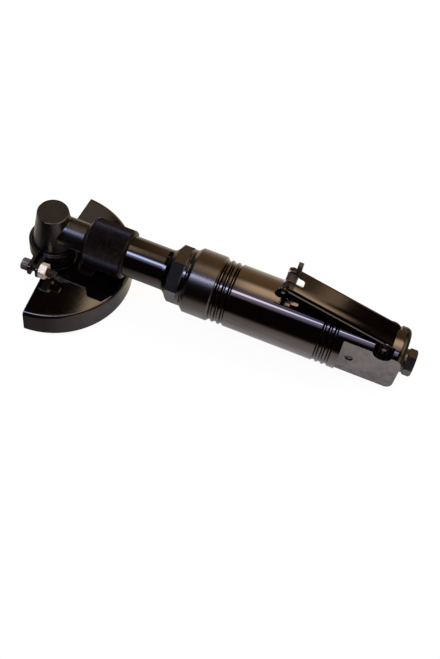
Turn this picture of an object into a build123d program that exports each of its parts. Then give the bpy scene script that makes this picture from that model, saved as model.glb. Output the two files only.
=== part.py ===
"""Extended right angle grinder: air motor, long neck, bevel gear head, lever throttle and half wheel guard."""
import os
from math import atan2, cos, degrees, hypot, pi, radians, sin, sqrt, tan

from build123d import *

os.makedirs("parts", exist_ok=True)

# Sizes are in millimetres. The origin is on the spindle axis in the plane of the wheel seat,
# +X runs along the motor axis to the air inlet and +Z up the spindle.

# Fits
running_fit = 0.05  # radial play of a shaft in its bearing and of a sliding stem
screwed_fit = 0.05  # radial play in a screwed or pushed-in joint
turning_gap = 0.4  # end gap between a turning piece and a standing one

# Spindle
axis_height = 42.0  # motor axis above the wheel seat
spindle_thread_radius = 7.94
spindle_stub_length = 11.0
spindle_lead = 1.0
collar_radius = 9.2
lower_journal_radius = 6.0
gear_seat_radius = 5.0
upper_journal_radius = 4.0
flange_radius = 18.0
flange_thickness = 4.0
flange_relief_depth = 0.6
flange_relief_radius = 12.5

# Bevel gears
bevel_module = 1.1
gear_teeth = 20
pinion_teeth = 15
tooth_face = 4.2
tooth_share = 0.41  # tooth thickness as a share of the pitch
tooth_addendum = 0.9
tooth_dedendum = 1.15
flank_angle = 22.0
gear_hub_depth = 3.6
pinion_hub_depth = 3.0

# Head
boss_floor = 5.0
boss_radius = 15.9
retainer_thickness = 2.5
lower_bearing_radius = 14.0
lower_bearing_width = 8.0
head_skirt_drop = 13.5
head_skirt_radius = 16.4
head_top_rise = 18.0
head_top_radius = 12.1
gear_room_radius = 12.4
upper_room_radius = 10.0
upper_bearing_radius = 8.0
upper_bearing_width = 5.0
bearing_lip = 1.5
lip_hole_radius = 6.2
neck_bore_start = 5.0
cap_radius = 11.2
cap_thickness = 2.0
cap_boss = 1.0
neck_radius = 12.0
neck_flange_start = 33.0
neck_flange_thickness = 4.0
neck_flange_radius = 14.2
pinion_bearing_radius = 9.5
pinion_bearing_width = 6.0
pinion_spacer_length = 5.0
pinion_retainer_thickness = 2.0

# Coupling nut
nut_front = 28.2
nut_front_radius = 12.6
nut_cone_length = 3.7
nut_radius = 19.2
nut_end = 63.8
nut_end_round = 2.0
nut_thread_radius = 14.9

# Extension tube
tube_radius = 16.0
tube_bore_radius = 11.0
hex_length = 13.1
hex_corner_radius = 22.8
hex_corner_angle = 103.0
hex_nose_rise = 0.8
hex_nose_length = 2.4
hex_nose_margin = 0.45  # from the round nose to the flats
hex_cone_length = 4.5
hex_flare = 3.6
washer_face_radius = 22.4
washer_face_length = 2.3
washer_face_gap = 1.2  # groove between the washer face and the housing
tube_groove_radius = 19.6
tube_spigot_radius = 19.0
tube_spigot_length = 14.4

# Drive shaft
shaft_bearing_bore = 4.0
shaft_bearing_width = 7.0
shaft_bearing_inset = 5.0
shaft_body_radius = 5.0
square_width = 5.0
square_depth = 3.6
coupler_radius = 5.2
spacer_wall = 1.5

# Motor housing
housing_front = 113.6
ring_nose_radius = 23.3
ring_radius = 25.5
ring_nose_length = 2.6
ring_end = 135.6
barrel_radius = 24.5
groove_depth = 1.1
groove_width = 3.1
groove_pitch = 4.6
front_groove = 137.8
rear_groove = 221.0
grooves_per_set = 3
flat_start = 237.5
flat_distance = 15.7
housing_end = 282.2
housing_end_round = 5.5
motor_bore_radius = 19.05

# Air motor
front_plate_thickness = 10.0
rear_plate_thickness = 9.0
liner_length = 60.0
liner_bore_radius = 15.6
liner_offset = 1.4
rotor_radius = 13.8
vane_count = 4
vane_thickness = 2.0
vane_height = 6.6
vane_slot_play = 0.1
gasket_thickness = 1.0
dowel_radius = 1.2
dowel_length = 14.0
exhaust_hole_radius = 1.6
exhaust_circle = 13.6
port_radius = 3.0
port_rise = 11.0

# Throttle valve
valve_x = 250.0
chamber_radius = 7.0
seat_rise = 8.0
seat_bush_length = 10.0
seat_hole_radius = 3.6
stem_radius = 2.5
stem_top_rise = 29.1
stem_hole_top = 18.0
valve_head_radius = 5.4
valve_head_thickness = 2.4
plug_depth = 7.0
plug_recess = 1.4
valve_wire = 1.0
valve_coil_radius = 4.2
valve_coil_turns = 5

# Air inlet
inlet_bore_radius = 7.6
inlet_bore_depth = 15.0
inlet_passage_radius = 5.0
inlet_washer_radius = 9.2
inlet_washer_thickness = 2.8
inlet_corner_radius = 10.4
inlet_corner_angle = 39.7
inlet_hex_length = 6.5
inlet_thread_radius = 5.7
inlet_thread_length = 14.0
screen_thickness = 1.2
side_plug_x = 245.2
side_plug_radius = 2.6
side_plug_depth = 4.0
side_plug_recess = 0.9
plug_recess_radius = 3.3

# Throttle lever
pivot_x = 266.3
pivot_rise = 20.0
lever_pitch = 13.6  # slope of the lever, degrees
lever_half_width = 10.8
lever_sheet = 1.6
lever_top = 7.3  # top face above the pivot, square to the lever
lever_tail = 3.0
lever_nose = 85.0
lever_fold_round = 2.4
flange_height = 8.5
flange_low_end = 40.0
flange_rear = 9.0
flange_rear_height = 4.7
rear_ear_radius = 6.6
front_ear_radius = 4.1
front_ear_reach = 4.2
far_ear_radius = 2.5
ear_lean = 0.9  # the near front ear's foot ahead of the latch pin
ear_pocket_gap = 0.7
pocket_side_gap = 0.5
lever_pin_radius = 2.0
lever_pin_overhang = 0.8
lever_slot_near = 3.2  # half of the slot nearer the plug side
lever_slot_far = 3.7
lever_slot_rear = 73.1
lever_far_nose = 78.0
lever_near_nose = 79.2
nose_cut_step = 1.0  # overlap of the nose cuts with the slot

# Safety latch
latch_back = 84.2  # latch pin ahead of the pivot, along the lever
latch_up = 2.3  # latch pin above the pivot, square to the lever
latch_pin_radius = 1.5
latch_pin_overhang = 0.7
latch_near = -2.8
latch_far = 8.0
latch_cheek = 1.6
latch_cheek_radius = 2.6
latch_plate_front = 3.3
latch_plate = 2.7
latch_web_top = 3.2
latch_web_floor = -3.0
latch_tab_near = 3.9
latch_tab_top = 15.6
latch_tab_thickness = 3.6
latch_tab_round = 0.8
latch_shelf_front = 0.4  # front edge of the shelf behind the latch pin
latch_shelf = 1.4
latch_leg_length = 13.8
latch_leg_near = -2.6
latch_leg_far = 3.1
latch_bush_radius = 2.3
latch_wire = 0.8
latch_coil_radius = 2.3
latch_coil_pitch = 1.28
latch_coil_start = -8.3
latch_coil_turns = 3.5
latch_tail_length = 6.0

# Guard and clamp
guard_radius = 62.5
guard_sheet = 2.0
guard_plate_rise = 9.0  # top of the plate above the wheel seat
guard_skirt_drop = 12.8  # rim below the wheel seat
guard_bend = 2.8
guard_front = -0.7  # where the two straight edges would meet on the middle plane
guard_edge_sweep = 3.2  # slope of each straight edge towards the rim, degrees
hub_radius = 17.6
hub_top_gap = 0.6
hub_slot_width = 3.0
hub_slot_floor = 1.0  # above the plate
band_thickness = 1.9
band_width = 10.6
band_set_down = 0.3  # below the top of the hub
ear_middle = -2.4
ear_gap = 4.4
ear_thickness = 2.2
ear_corner = 2.4
ear_root = 4.0  # how far from the spindle axis the ears start
ear_reach = 34.0
screw_distance = 28.5
screw_radius = 3.1
screw_head_radius = 4.75
screw_head_height = 6.3
screw_socket_width = 4.8
screw_socket_depth = 3.2
screw_tail = 8.0
clamp_nut_width = 11.1
clamp_nut_height = 5.6
clamp_nut_turn = 22.0  # of one flat, from +Y towards +Z

# Levels and stations that follow from the sizes
gear_pitch_radius = bevel_module * gear_teeth / 2
pinion_pitch_radius = bevel_module * pinion_teeth / 2
retainer_top = boss_floor + retainer_thickness
lower_bearing_top = retainer_top + lower_bearing_width
head_skirt = axis_height - head_skirt_drop
head_top = axis_height + head_top_rise
cap_floor = head_top - cap_thickness
upper_bearing_top = cap_floor - cap_boss
upper_bearing_floor = upper_bearing_top - upper_bearing_width
gear_back = axis_height - pinion_pitch_radius - gear_hub_depth
pinion_back = gear_pitch_radius + pinion_hub_depth
front_pinion_bearing_x = pinion_back + turning_gap
pinion_spacer_x = front_pinion_bearing_x + pinion_bearing_width
rear_pinion_bearing_x = pinion_spacer_x + pinion_spacer_length
pinion_retainer_x = rear_pinion_bearing_x + pinion_bearing_width
neck_end = neck_flange_start + neck_flange_thickness
washer_face_end = housing_front - washer_face_gap
hex_end = washer_face_end - washer_face_length
hex_start = hex_end - hex_length
hex_nose_radius = tube_radius + hex_nose_rise
hex_nose_end_radius = hex_corner_radius * cos(radians(30)) - hex_nose_margin
tube_end = housing_front + tube_spigot_length
front_shaft_bearing_x = neck_end + shaft_bearing_inset
rear_shaft_bearing_x = tube_end - shaft_bearing_inset - shaft_bearing_width
front_coupler_x = pinion_retainer_x + pinion_retainer_thickness + turning_gap
front_coupler_end = front_shaft_bearing_x - turning_gap
rear_coupler_x = rear_shaft_bearing_x + shaft_bearing_width + turning_gap
front_rotor_bearing_x = tube_end + front_plate_thickness - shaft_bearing_width
rear_coupler_end = front_rotor_bearing_x - turning_gap
liner_x = tube_end + front_plate_thickness
liner_end = liner_x + liner_length
rear_plate_end = liner_end + rear_plate_thickness
motor_bore_end = rear_plate_end + gasket_thickness
pivot = (pivot_x, 0, axis_height + pivot_rise)
slope = radians(lever_pitch)
lever_inner = lever_half_width - lever_sheet
guard_plate_floor = guard_plate_rise - guard_sheet
hub_top = head_skirt - hub_top_gap
band_top = hub_top - band_set_down
band_bottom = band_top - band_width
band_inner = hub_radius + screwed_fit
band_outer = band_inner + band_thickness
screw_rise = (band_bottom + band_top) / 2
plug_top = axis_height - barrel_radius + plug_recess + plug_depth
valve_head_floor = axis_height + seat_rise - valve_head_thickness
chamber_top = axis_height + stem_hole_top

# Working planes
motor_axis = Axis((0, 0, axis_height), (1, 0, 0))
turning_plane = Plane(origin=(0, 0, axis_height), x_dir=(1, 0, 0), z_dir=(0, -1, 0))
lever_rear = (cos(slope), 0, -sin(slope))
lever_normal = (sin(slope), 0, cos(slope))
lever_side = Plane(origin=pivot, x_dir=lever_rear, z_dir=(0, -1, 0))


def across(x):
    """Plane square to the motor axis, its own x along +Y and its own y along +Z."""
    return Plane(origin=(x, 0, axis_height), x_dir=(0, 1, 0), z_dir=(1, 0, 0))


def side_plane(y):
    """Plane square to +Y at y, its own x along +X and its own y along +Z from the motor axis."""
    return Plane(origin=(0, y, axis_height), x_dir=(1, 0, 0), z_dir=(0, -1, 0))


def lever_point(along, up, y=0.0):
    """Point given along the lever (rearwards from the pivot) and square to it."""
    return lever_side.from_local_coords(Vector(along, up, -y))


def turned(points, plane, axis):
    """Solid turned about an axis from a closed profile."""
    with BuildPart() as solid:
        with BuildSketch(plane):
            with BuildLine():
                Polyline(*points, close=True)
            make_face()
        revolve(axis=axis)
    return solid.part


def motor_turned(points):
    """Solid turned about the motor axis from (x, radius) points."""
    return turned(points, turning_plane, motor_axis)


def spindle_turned(points):
    """Solid turned about the spindle axis from (radius, z) points."""
    return turned(points, Plane.XZ, Axis.Z)


def motor_sleeve(start, end, outer, inner):
    """Plain sleeve on the motor axis."""
    return motor_turned([(start, inner), (end, inner), (end, outer), (start, outer)])


def spindle_sleeve(floor, top, outer, inner):
    """Plain sleeve on the spindle axis."""
    return spindle_turned([(inner, floor), (outer, floor), (outer, top), (inner, top)])


def hexagon_bar(start, end, corner_radius, corner_angle):
    """Hexagonal bar along the motor axis with one corner at an angle from +Y towards +Z."""
    with BuildPart() as bar:
        with BuildSketch(across(start)):
            RegularPolygon(corner_radius, 6, rotation=corner_angle)
        extrude(amount=end - start)
    return bar.part


def square_bar(start, end, width):
    """Square bar along the motor axis."""
    with BuildPart() as bar:
        with BuildSketch(across(start)):
            Rectangle(width, width)
        extrude(amount=end - start)
    return bar.part


def ball_bearing(inner, outer, width):
    """Ball bearing about +Z from z = 0: two races, a shield on each side set in a little."""
    race = (outer - inner) * 0.28
    inset = width * 0.08
    with BuildPart() as bearing:
        add(spindle_turned([
            (inner, 0), (inner + race, 0), (inner + race, inset), (outer - race, inset), (outer - race, 0), (outer, 0),
            (outer, width), (outer - race, width), (outer - race, width - inset), (inner + race, width - inset),
            (inner + race, width), (inner, width),
        ]))
    return bearing.part


def bearing_on_motor_axis(x, inner, outer, width):
    """Ball bearing standing on the motor axis from x."""
    return Plane(origin=(x, 0, axis_height), z_dir=(1, 0, 0)) * ball_bearing(inner, outer, width)


def bevel_wheel(teeth, own_radius, mate_radius, hub_depth, first_angle):
    """Straight bevel wheel with its cone apex at the origin and its axis along +Z."""
    cone = atan2(own_radius, mate_radius)
    inner_scale = 1 - tooth_face / hypot(own_radius, mate_radius)
    root = (own_radius - tooth_dedendum * cos(cone), mate_radius + tooth_dedendum * sin(cone))
    back = mate_radius + hub_depth
    half_pitch = tooth_share * pi * bevel_module / 2
    half_tip = half_pitch - tooth_addendum * tan(radians(flank_angle))
    half_root = half_pitch + tooth_dedendum * tan(radians(flank_angle))
    sunk = tooth_dedendum + 0.3
    turn = radians(first_angle)
    outline = [(-half_root, -sunk), (half_root, -sunk), (half_root, -tooth_dedendum), (half_tip, tooth_addendum),
               (-half_tip, tooth_addendum), (-half_root, -tooth_dedendum)]
    outward = Vector(cos(cone) * cos(turn), cos(cone) * sin(turn), -sin(cone))
    sideways = Vector(-sin(turn), cos(turn), 0)
    with BuildPart() as tooth:
        for scale in (1.0, inner_scale):
            middle = (own_radius * cos(turn) * scale, own_radius * sin(turn) * scale, mate_radius * scale)
            with BuildSketch(Plane(origin=middle, x_dir=sideways, z_dir=sideways.cross(outward))):
                with BuildLine():
                    Polyline(*[(across_tooth * scale, up * scale) for across_tooth, up in outline], close=True)
                make_face()
        loft()
    with BuildPart() as wheel:
        add(spindle_turned([(0, root[1] * inner_scale), (root[0] * inner_scale, root[1] * inner_scale), root,
                            (root[0] - 0.8, back), (0, back)]))
        for number in range(teeth):
            add(tooth.part.rotate(Axis.Z, 360 * number / teeth))
    return wheel.part


def coil_path(plane, radius, pitch, turns, start_angle):
    """Points and directions of a coil's half turns in space, with the joint of the two arcs of each."""
    climb = pitch / (2 * pi)
    steps = round(2 * turns)
    stations = []
    for number in range(steps + 1):
        angle = radians(start_angle) + pi * number
        spot = plane.from_local_coords(Vector(radius * cos(angle), radius * sin(angle), climb * pi * number))
        ahead = plane.from_local_coords(
            Vector(radius * cos(angle) - radius * sin(angle), radius * sin(angle) + radius * cos(angle),
                   climb * pi * number + climb))
        stations.append((spot, (ahead - spot).normalized()))
    pieces = []
    for (here, here_way), (there, there_way) in zip(stations, stations[1:]):
        chord = there - here
        both = here_way + there_way
        square_term = both.dot(both) - 4
        middle_term = -2 * chord.dot(both)
        root = sqrt(middle_term ** 2 - 4 * square_term * chord.dot(chord))
        reach = max((-middle_term + root) / (2 * square_term), (-middle_term - root) / (2 * square_term))
        first = here + here_way * reach
        second = there - there_way * reach
        pieces.append((here, here_way, (first + second) * 0.5, (second - first).normalized(), there))
    return stations, pieces


def coil(plane, radius, pitch, turns, start_angle, wire, tail):
    """Round wire wound in one unbroken tube, with a straight tail at both ends."""
    stations, pieces = coil_path(plane, radius, pitch, turns, start_angle)
    begin, begin_way = stations[0]
    finish, finish_way = stations[-1]
    with BuildPart() as spring:
        with BuildLine() as path:
            Line(begin - begin_way * tail, begin)
            for here, here_way, joint, joint_way, there in pieces:
                TangentArc(here, joint, tangent=here_way)
                TangentArc(joint, there, tangent=joint_way)
            Line(finish, finish + finish_way * tail)
        with BuildSketch(Plane(origin=begin - begin_way * tail, z_dir=begin_way)):
            Circle(wire / 2)
        sweep(path=path.line)
    centre = path.wires()[0]
    samples = [centre @ (number / 400) for number in range(401)]
    span = centre.length / 400
    apart = round(0.6 * 2 * pi * radius / span)
    least = min((samples[i] - samples[j]).length
                for i in range(401) for j in range(i + apart, 401)) - wire
    print(f"wire {wire}: least gap to itself {least:.2f} mm")
    return spring.part


# Head housing, with the neck and the flange the coupling nut pulls on
with BuildPart() as head_housing:
    add(spindle_turned([
        (0, boss_floor), (boss_radius, boss_floor), (boss_radius, head_skirt), (head_skirt_radius, head_skirt),
        (head_top_radius, head_top), (0, head_top),
    ]))
    fillet(head_housing.edges().filter_by(GeomType.CIRCLE).group_by(Axis.Z)[-1], 1.0)
    skirt_edges = head_housing.edges().filter_by(GeomType.CIRCLE)
    fillet(skirt_edges.filter_by(lambda e: abs(e.radius - head_skirt_radius) < 1e-3), 0.4)
    add(motor_turned([(0, 0), (neck_end, 0), (neck_end, neck_flange_radius), (neck_flange_start, neck_flange_radius),
                      (neck_flange_start, neck_radius), (0, neck_radius)]))
    add(spindle_turned([
        (0, boss_floor - 1), (lower_bearing_radius, boss_floor - 1), (lower_bearing_radius, lower_bearing_top),
        (gear_room_radius, lower_bearing_top), (gear_room_radius, axis_height), (upper_room_radius, axis_height + 2.4),
        (upper_room_radius, upper_bearing_floor - bearing_lip), (lip_hole_radius, upper_bearing_floor - bearing_lip),
        (lip_hole_radius, upper_bearing_floor), (upper_bearing_radius, upper_bearing_floor), (upper_bearing_radius, cap_floor),
        (cap_radius + screwed_fit, cap_floor), (cap_radius + screwed_fit, head_top + 1), (0, head_top + 1),
    ]), mode=Mode.SUBTRACT)
    add(motor_turned([(neck_bore_start, 0), (neck_end + 1, 0), (neck_end + 1, pinion_bearing_radius),
                      (neck_bore_start, pinion_bearing_radius)]), mode=Mode.SUBTRACT)
head_housing.part.label = "head_housing"
export_step(head_housing.part, "parts/head_housing.step")

# Head cap with two key holes
with BuildPart() as head_cap:
    add(spindle_turned([(0, upper_bearing_top), (upper_bearing_radius - 0.2, upper_bearing_top),
                        (upper_bearing_radius - 0.2, cap_floor), (cap_radius, cap_floor), (cap_radius, head_top - 0.5),
                        (cap_radius - 0.3, head_top - 0.2), (0, head_top - 0.2)]))
    add(spindle_turned([(0, upper_bearing_top - 1), (upper_journal_radius + 0.6, upper_bearing_top - 1),
                        (upper_journal_radius + 0.6, upper_bearing_top + 0.8), (0, upper_bearing_top + 0.8)]),
        mode=Mode.SUBTRACT)
head_cap.part.label = "head_cap"
export_step(head_cap.part, "parts/head_cap.step")

# Spindle and its bearings
with BuildPart() as spindle:
    add(spindle_turned([
        (0, -spindle_stub_length), (spindle_thread_radius - spindle_lead, -spindle_stub_length),
        (spindle_thread_radius, spindle_lead - spindle_stub_length), (spindle_thread_radius, 0),
        (spindle_thread_radius + 0.2, 0), (spindle_thread_radius + 0.2, flange_thickness),
        (collar_radius, flange_thickness), (collar_radius, retainer_top - turning_gap),
        (lower_journal_radius - running_fit, retainer_top - turning_gap), (lower_journal_radius - running_fit, gear_back),
        (gear_seat_radius, gear_back), (gear_seat_radius, upper_bearing_floor - turning_gap),
        (upper_journal_radius - running_fit, upper_bearing_floor - turning_gap),
        (upper_journal_radius - running_fit, upper_bearing_top + turning_gap), (0, upper_bearing_top + turning_gap),
    ]))
spindle.part.label = "spindle"
export_step(spindle.part, "parts/spindle.step")

with BuildPart() as wheel_flange:
    add(spindle_turned([
        (spindle_thread_radius + 0.2, flange_relief_depth), (flange_relief_radius, flange_relief_depth),
        (flange_relief_radius, 0), (flange_radius, 0), (flange_radius, flange_thickness - 1.0),
        (flange_radius - 1.0, flange_thickness), (spindle_thread_radius + 0.2, flange_thickness),
    ]))
wheel_flange.part.label = "wheel_flange"
export_step(wheel_flange.part, "parts/wheel_flange.step")

with BuildPart() as bearing_retainer:
    add(spindle_sleeve(boss_floor, retainer_top, lower_bearing_radius, collar_radius + turning_gap))
    with BuildSketch(Plane.XY.offset(boss_floor)):
        with PolarLocations((lower_bearing_radius + collar_radius + turning_gap) / 2, 4):
            Circle(1.0)
    extrude(amount=1.5, mode=Mode.SUBTRACT)
bearing_retainer.part.label = "bearing_retainer"
export_step(bearing_retainer.part, "parts/bearing_retainer.step")

with BuildPart() as lower_spindle_bearing:
    add(Pos(0, 0, retainer_top) * ball_bearing(lower_journal_radius, lower_bearing_radius, lower_bearing_width))
lower_spindle_bearing.part.label = "lower_spindle_bearing"
export_step(lower_spindle_bearing.part, "parts/lower_spindle_bearing.step")

with BuildPart() as upper_spindle_bearing:
    add(Pos(0, 0, upper_bearing_floor)
        * ball_bearing(upper_journal_radius, upper_bearing_radius, upper_bearing_width))
upper_spindle_bearing.part.label = "upper_spindle_bearing"
export_step(upper_spindle_bearing.part, "parts/upper_spindle_bearing.step")

# Bevel gear on the spindle, a gap facing the pinion
with BuildPart() as bevel_gear:
    add(Plane(origin=(0, 0, axis_height), x_dir=(1, 0, 0), z_dir=(0, 0, -1))
        * bevel_wheel(gear_teeth, gear_pitch_radius, pinion_pitch_radius, gear_hub_depth, 180 / gear_teeth))
    add(spindle_turned([(0, 0), (gear_seat_radius, 0), (gear_seat_radius, head_top), (0, head_top)]),
        mode=Mode.SUBTRACT)
bevel_gear.part.label = "bevel_gear"
export_step(bevel_gear.part, "parts/bevel_gear.step")

# Bevel pinion and its shaft, a tooth facing the gear
with BuildPart() as bevel_pinion:
    add(Plane(origin=(0, 0, axis_height), x_dir=(0, 0, -1), z_dir=(1, 0, 0))
        * bevel_wheel(pinion_teeth, pinion_pitch_radius, gear_pitch_radius, pinion_hub_depth, 0))
    add(motor_turned([(pinion_back - 0.5, 0), (front_coupler_x, 0),
                      (front_coupler_x, shaft_bearing_bore - running_fit),
                      (pinion_back - 0.5, shaft_bearing_bore - running_fit)]))
    add(square_bar(front_coupler_x - 0.5, front_coupler_x + square_depth, square_width))
bevel_pinion.part.label = "bevel_pinion"
export_step(bevel_pinion.part, "parts/bevel_pinion.step")

with BuildPart() as front_pinion_bearing:
    add(bearing_on_motor_axis(front_pinion_bearing_x, shaft_bearing_bore, pinion_bearing_radius, pinion_bearing_width))
front_pinion_bearing.part.label = "front_pinion_bearing"
export_step(front_pinion_bearing.part, "parts/front_pinion_bearing.step")

with BuildPart() as rear_pinion_bearing:
    add(bearing_on_motor_axis(rear_pinion_bearing_x, shaft_bearing_bore, pinion_bearing_radius, pinion_bearing_width))
rear_pinion_bearing.part.label = "rear_pinion_bearing"
export_step(rear_pinion_bearing.part, "parts/rear_pinion_bearing.step")

with BuildPart() as pinion_spacer:
    add(motor_sleeve(pinion_spacer_x, rear_pinion_bearing_x, pinion_bearing_radius, pinion_bearing_radius - spacer_wall))
pinion_spacer.part.label = "pinion_spacer"
export_step(pinion_spacer.part, "parts/pinion_spacer.step")

with BuildPart() as pinion_retainer:
    add(motor_sleeve(pinion_retainer_x, pinion_retainer_x + pinion_retainer_thickness, pinion_bearing_radius,
                     shaft_bearing_bore + 1.5))
pinion_retainer.part.label = "pinion_retainer"
export_step(pinion_retainer.part, "parts/pinion_retainer.step")

# Coupling nut: round, with a coned front and a rounded rear edge
with BuildPart() as coupling_nut:
    add(motor_turned([
        (nut_front, 0), (nut_front, nut_front_radius), (nut_front + nut_cone_length, nut_radius),
        (nut_end, nut_radius), (nut_end, 0),
    ]))
    fillet(coupling_nut.edges().filter_by(GeomType.CIRCLE).group_by(Axis.X)[-1], nut_end_round)
    add(motor_turned([
        (nut_front - 1, 0), (nut_end + 1, 0), (nut_end + 1, nut_thread_radius), (neck_flange_start, nut_thread_radius),
        (neck_flange_start, neck_radius + screwed_fit), (nut_front - 1, neck_radius + screwed_fit),
    ]), mode=Mode.SUBTRACT)
coupling_nut.part.label = "coupling_nut"
export_step(coupling_nut.part, "parts/coupling_nut.step")

# Extension tube with its own hexagon
with BuildPart() as extension_tube:
    add(hexagon_bar(hex_start, hex_end, hex_corner_radius, hex_corner_angle))
    add(motor_turned([
        (hex_start, 0), (hex_start, hex_nose_radius), (hex_start + hex_nose_length, hex_nose_end_radius),
        (hex_start + hex_cone_length, hex_corner_radius + 0.1),
        (hex_end - 0.9, hex_corner_radius + 0.1), (hex_end, hex_corner_radius - 0.9), (hex_end, 0),
    ]), mode=Mode.INTERSECT)
    add(motor_turned([
        (neck_end, 0), (neck_end, nut_thread_radius - screwed_fit), (nut_end, nut_thread_radius - screwed_fit),
        (nut_end, tube_radius), (hex_start - hex_flare, tube_radius),
        (hex_start - hex_flare * 0.38, tube_radius + hex_nose_rise * 0.25), (hex_start, hex_nose_radius),
        (hex_start + 1, hex_nose_radius), (hex_start + 1, 0),
    ]))
    add(motor_turned([
        (hex_end - 1, 0), (hex_end - 1, washer_face_radius - 0.4), (hex_end, washer_face_radius),
        (washer_face_end - 0.4, washer_face_radius), (washer_face_end, washer_face_radius - 0.4),
        (washer_face_end, tube_groove_radius), (housing_front, tube_groove_radius), (housing_front, tube_spigot_radius),
        (tube_end, tube_spigot_radius), (tube_end, 0),
    ]))
    add(motor_turned([(neck_end - 1, 0), (tube_end + 1, 0), (tube_end + 1, tube_bore_radius),
                      (neck_end - 1, tube_bore_radius)]), mode=Mode.SUBTRACT)
extension_tube.part.label = "extension_tube"
export_step(extension_tube.part, "parts/extension_tube.step")

# Drive shaft, its couplers, bearings and spacer
with BuildPart() as front_coupler:
    add(motor_turned([(front_coupler_x, 0), (front_coupler_end, 0), (front_coupler_end, coupler_radius),
                      (front_coupler_x, coupler_radius)]))
    add(square_bar(front_coupler_x - 1, front_coupler_end + 1, square_width + 2 * screwed_fit), mode=Mode.SUBTRACT)
front_coupler.part.label = "front_coupler"
export_step(front_coupler.part, "parts/front_coupler.step")

with BuildPart() as drive_shaft:
    add(motor_turned([
        (front_coupler_end, 0), (front_coupler_end, shaft_bearing_bore - running_fit),
        (front_shaft_bearing_x + shaft_bearing_width + turning_gap, shaft_bearing_bore - running_fit),
        (front_shaft_bearing_x + shaft_bearing_width + turning_gap, shaft_body_radius),
        (rear_shaft_bearing_x - turning_gap, shaft_body_radius),
        (rear_shaft_bearing_x - turning_gap, shaft_bearing_bore - running_fit),
        (rear_coupler_x, shaft_bearing_bore - running_fit), (rear_coupler_x, 0),
    ]))
    add(square_bar(front_coupler_end - square_depth, front_coupler_end + 0.5, square_width))
    add(square_bar(rear_coupler_x - 0.5, rear_coupler_x + square_depth, square_width))
drive_shaft.part.label = "drive_shaft"
export_step(drive_shaft.part, "parts/drive_shaft.step")

with BuildPart() as rear_coupler:
    add(motor_turned([(rear_coupler_x, 0), (rear_coupler_end, 0), (rear_coupler_end, coupler_radius),
                      (rear_coupler_x, coupler_radius)]))
    add(square_bar(rear_coupler_x - 1, rear_coupler_end + 1, square_width + 2 * screwed_fit), mode=Mode.SUBTRACT)
rear_coupler.part.label = "rear_coupler"
export_step(rear_coupler.part, "parts/rear_coupler.step")

with BuildPart() as front_shaft_bearing:
    add(bearing_on_motor_axis(front_shaft_bearing_x, shaft_bearing_bore, tube_bore_radius, shaft_bearing_width))
front_shaft_bearing.part.label = "front_shaft_bearing"
export_step(front_shaft_bearing.part, "parts/front_shaft_bearing.step")

with BuildPart() as rear_shaft_bearing:
    add(bearing_on_motor_axis(rear_shaft_bearing_x, shaft_bearing_bore, tube_bore_radius, shaft_bearing_width))
rear_shaft_bearing.part.label = "rear_shaft_bearing"
export_step(rear_shaft_bearing.part, "parts/rear_shaft_bearing.step")

with BuildPart() as shaft_spacer:
    add(motor_sleeve(front_shaft_bearing_x + shaft_bearing_width, rear_shaft_bearing_x, tube_bore_radius,
                     tube_bore_radius - spacer_wall))
shaft_spacer.part.label = "shaft_spacer"
export_step(shaft_spacer.part, "parts/shaft_spacer.step")

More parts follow.
